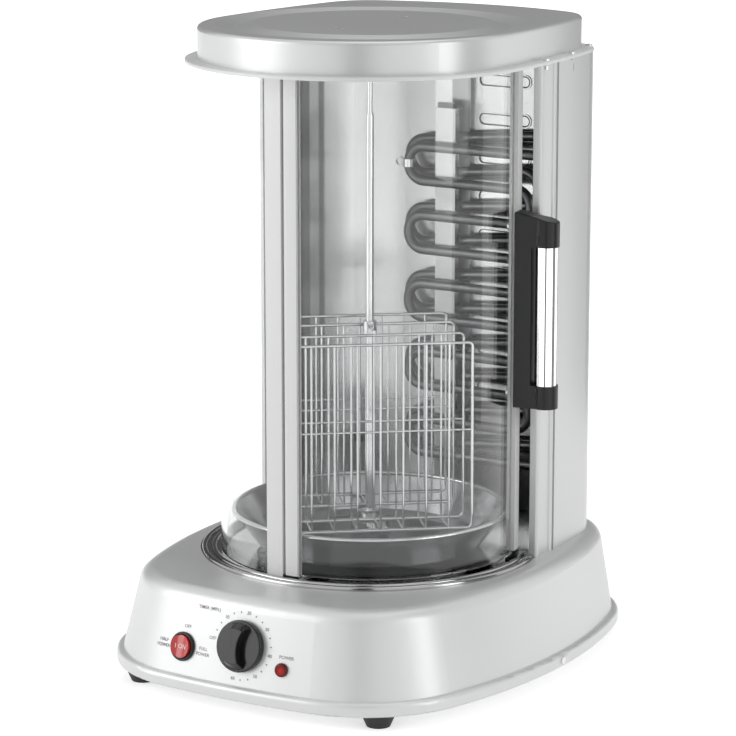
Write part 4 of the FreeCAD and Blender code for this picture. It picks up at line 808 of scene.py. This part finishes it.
class GRILL_OT_labels(bpy.types.Operator):
    """Prints the plain words by the switch and the lamp"""
    bl_idname = "skewer_grill.labels"
    bl_label = "Labels"

    def execute(self, context):
        ink = bpy.data.materials["label_grey"]
        high = settings().letter_height
        for name, words, place in (("switch_print", SWITCH_WORDS, ROCKER_PLACE),
                                   ("lamp_print", LAMP_WORDS, LAMP_PLACE)):
            mesh = joined(word_meshes(words, high), name)
            lay_on_wall(mesh, place)
            settle(mesh_object(name, mesh, ink), "cabinet")
        return {"FINISHED"}


class GRILL_OT_rocker_mark(bpy.types.Operator):
    """Moulds the light marks into the red rocker's face"""
    bl_idname = "skewer_grill.rocker_mark"
    bl_label = "Rocker marks"

    def execute(self, context):
        ink = bpy.data.materials["mark_white"]
        mesh = joined(word_meshes(ROCKER_WORDS, ROCKER_LETTER * MM), "rocker_mark")
        dish = ROCKER_DISH * MM
        lowest = (ROCKER_TOP - ROCKER_DIP + ROCKER_INK_LIFT) * MM
        for vertex in mesh.vertices:
            vertex.co.z += lowest + dish - math.sqrt(dish ** 2 - vertex.co.x ** 2)
        mark = mesh_object("rocker_mark", mesh, ink)
        settle(mark, "rocker", wall_matrix(ROCKER_PLACE))
        return {"FINISHED"}


class GRILL_OT_stage(bpy.types.Operator):
    """Adds the floor, the lamps, the surroundings and the camera"""
    bl_idname = "skewer_grill.stage"
    bl_label = "Stage"

    def execute(self, context):
        make_floor()
        make_world()
        for name, values in CARDS.items():
            make_card(name, *values)
        for name, values in LAMPS.items():
            make_lamp(name, *values)
        make_camera(settings().camera_distance)
        context.scene.view_settings.view_transform = "Standard"
        return {"FINISHED"}


def seen_directly(tree):
    """1 for rays from the camera, off a mirror or through glass, and 0 for soft light."""
    path = tree.nodes.new("ShaderNodeLightPath")
    mirror = add(tree, "ShaderNodeMath", operation="MAXIMUM")
    tree.links.new(path.outputs["Is Camera Ray"], mirror.inputs[0])
    tree.links.new(path.outputs["Is Glossy Ray"], mirror.inputs[1])
    seen = add(tree, "ShaderNodeMath", operation="MAXIMUM")
    tree.links.new(mirror.outputs[0], seen.inputs[0])
    tree.links.new(path.outputs["Is Transmission Ray"], seen.inputs[1])
    return seen.outputs[0]


def stage_tree(name):
    mat = bpy.data.materials.new(name)
    mat.use_nodes = True
    mat.node_tree.nodes.clear()
    return mat, mat.node_tree, mat.node_tree.nodes.new("ShaderNodeOutputMaterial")


def make_floor():
    mesh = bpy.data.meshes.new("studio_floor")
    half = FLOOR_HALF
    corners = [(-half, -half, 0), (half, -half, 0), (half, half, 0), (-half, half, 0)]
    mesh.from_pydata(corners, [], [(0, 1, 2, 3)])
    mat, tree, out = stage_tree("studio_floor")
    matte = add(tree, "ShaderNodeBsdfDiffuse", Color=(FLOOR_MATTE, FLOOR_MATTE, FLOOR_MATTE, 1))
    glow = add(tree, "ShaderNodeEmission", Color=(1, 1, 1, 1))
    coord = tree.nodes.new("ShaderNodeTexCoord")
    reach = add(tree, "ShaderNodeVectorMath", operation="LENGTH")
    tree.links.new(coord.outputs["Object"], reach.inputs[0])
    share = add(tree, "ShaderNodeMath", operation="MULTIPLY")
    tree.links.new(seen_directly(tree), share.inputs[0])
    (near, near_glow), (far, far_glow) = FLOOR_NEAR, FLOOR_FAR
    fade = ramp(tree, reach.outputs["Value"], near, far, near_glow, far_glow)
    tree.links.new(fade, share.inputs[1])
    tree.links.new(share.outputs[0], glow.inputs["Strength"])
    both = tree.nodes.new("ShaderNodeAddShader")
    tree.links.new(matte.outputs[0], both.inputs[0])
    tree.links.new(glow.outputs[0], both.inputs[1])
    tree.links.new(both.outputs[0], out.inputs["Surface"])
    mesh_object("studio_floor", mesh, mat)


def make_world():
    world = bpy.data.worlds.new("studio_world")
    bpy.context.scene.world = world
    world.use_nodes = True
    tree = world.node_tree
    tree.nodes.clear()
    out = tree.nodes.new("ShaderNodeOutputWorld")
    plain = add(tree, "ShaderNodeBackground", Color=(1, 1, 1, 1), Strength=SOFT_WORLD)
    white = add(tree, "ShaderNodeBackground", Color=(1, 1, 1, 1), Strength=1.0)
    mixer = tree.nodes.new("ShaderNodeMixShader")
    tree.links.new(seen_directly(tree), mixer.inputs[0])
    tree.links.new(plain.outputs[0], mixer.inputs[1])
    tree.links.new(white.outputs[0], mixer.inputs[2])
    tree.links.new(mixer.outputs[0], out.inputs["Surface"])


def make_card(name, azimuth, spread, low, high, shade, reach):
    """Upright studio card that only mirrors show: bent round the grill between two azimuths."""
    steps = CARD_STEPS
    points, faces = [], []
    for i in range(steps + 1):
        angle = math.radians(azimuth - spread / 2 + spread * i / steps)
        side = Vector((math.sin(angle), -math.cos(angle), 0.0)) * reach
        points += [(side.x, side.y, low), (side.x, side.y, high)]
        if i:
            faces.append((2 * i - 2, 2 * i, 2 * i + 1, 2 * i - 1))
    mesh = bpy.data.meshes.new(name)
    mesh.from_pydata(points, [], faces)
    mat, tree, out = stage_tree(name)
    glow = add(tree, "ShaderNodeEmission", Color=(1, 1, 1, 1), Strength=shade)
    tree.links.new(glow.outputs[0], out.inputs["Surface"])
    card = mesh_object(name, mesh, mat)
    card.visible_camera = False
    card.visible_diffuse = False
    card.visible_transmission = False
    card.visible_shadow = False


def make_lamp(name, place, size, power):
    data = bpy.data.lights.new(name, "AREA")
    data.shape = "RECTANGLE"
    data.size, data.size_y = size
    data.energy = power
    lamp = bpy.data.objects.new(name, data)
    bpy.context.scene.collection.objects.link(lamp)
    lamp.location = place
    aim = Vector(LAMP_TARGET) - Vector(place)
    lamp.rotation_euler = aim.to_track_quat("-Z", "Y").to_euler()


def make_camera(distance):
    """Long lens looking down at the grill from its front right."""
    azimuth = math.radians(CAMERA_AZIMUTH)
    pitch = math.radians(CAMERA_PITCH)
    data = bpy.data.cameras.new("grill_camera")
    camera = bpy.data.objects.new("grill_camera", data)
    bpy.context.scene.collection.objects.link(camera)
    data.sensor_width = SENSOR_WIDTH
    data.lens = FOCAL_SHARE * SENSOR_WIDTH
    back = Vector((math.sin(azimuth), -math.cos(azimuth), 0.0))
    camera.location = back * distance + Vector((0.0, 0.0, CAMERA_HEIGHT))
    ahead = -back * math.cos(pitch) - Vector((0.0, 0.0, math.sin(pitch)))
    turn = Matrix.Rotation(math.radians(CAMERA_TURN), 3, "Z")
    camera.rotation_mode = "QUATERNION"
    camera.rotation_quaternion = (turn @ ahead).to_track_quat("-Z", "Y")
    data.clip_start, data.clip_end = CLIP_RANGE
    bpy.context.scene.camera = camera


class GRILL_PT_panel(bpy.types.Panel):
    """Shows the grill's colours, sizes and camera distance, and a button for each operator"""
    bl_label = "Skewer Grill"
    bl_idname = "GRILL_PT_panel"
    bl_space_type = "VIEW_3D"
    bl_region_type = "UI"
    bl_category = "Skewer Grill"

    def draw(self, context):
        sizes = context.scene.skewer_grill
        for name in ("paint_colour", "red_colour", "label_colour", "dial_radius", "tick_count",
                     "letter_height", "camera_distance"):
            self.layout.prop(sizes, name)
        for operator in OPERATORS:
            self.layout.operator(operator.bl_idname)


OPERATORS = (GRILL_OT_finishes, GRILL_OT_slot_shade_lines, GRILL_OT_dial, GRILL_OT_labels,
             GRILL_OT_rocker_mark, GRILL_OT_stage)
CLASSES = (GrillSettings,) + OPERATORS + (GRILL_PT_panel,)


def register():
    for cls in CLASSES:
        bpy.utils.register_class(cls)
    bpy.types.Scene.skewer_grill = bpy.props.PointerProperty(type=GrillSettings)


def unregister():
    del bpy.types.Scene.skewer_grill
    for cls in reversed(CLASSES):
        bpy.utils.unregister_class(cls)


def main():
    register()
    for operator in OPERATORS:
        getattr(bpy.ops.skewer_grill, operator.bl_idname.split(".")[1])()


if __name__ == "__main__":
    main()
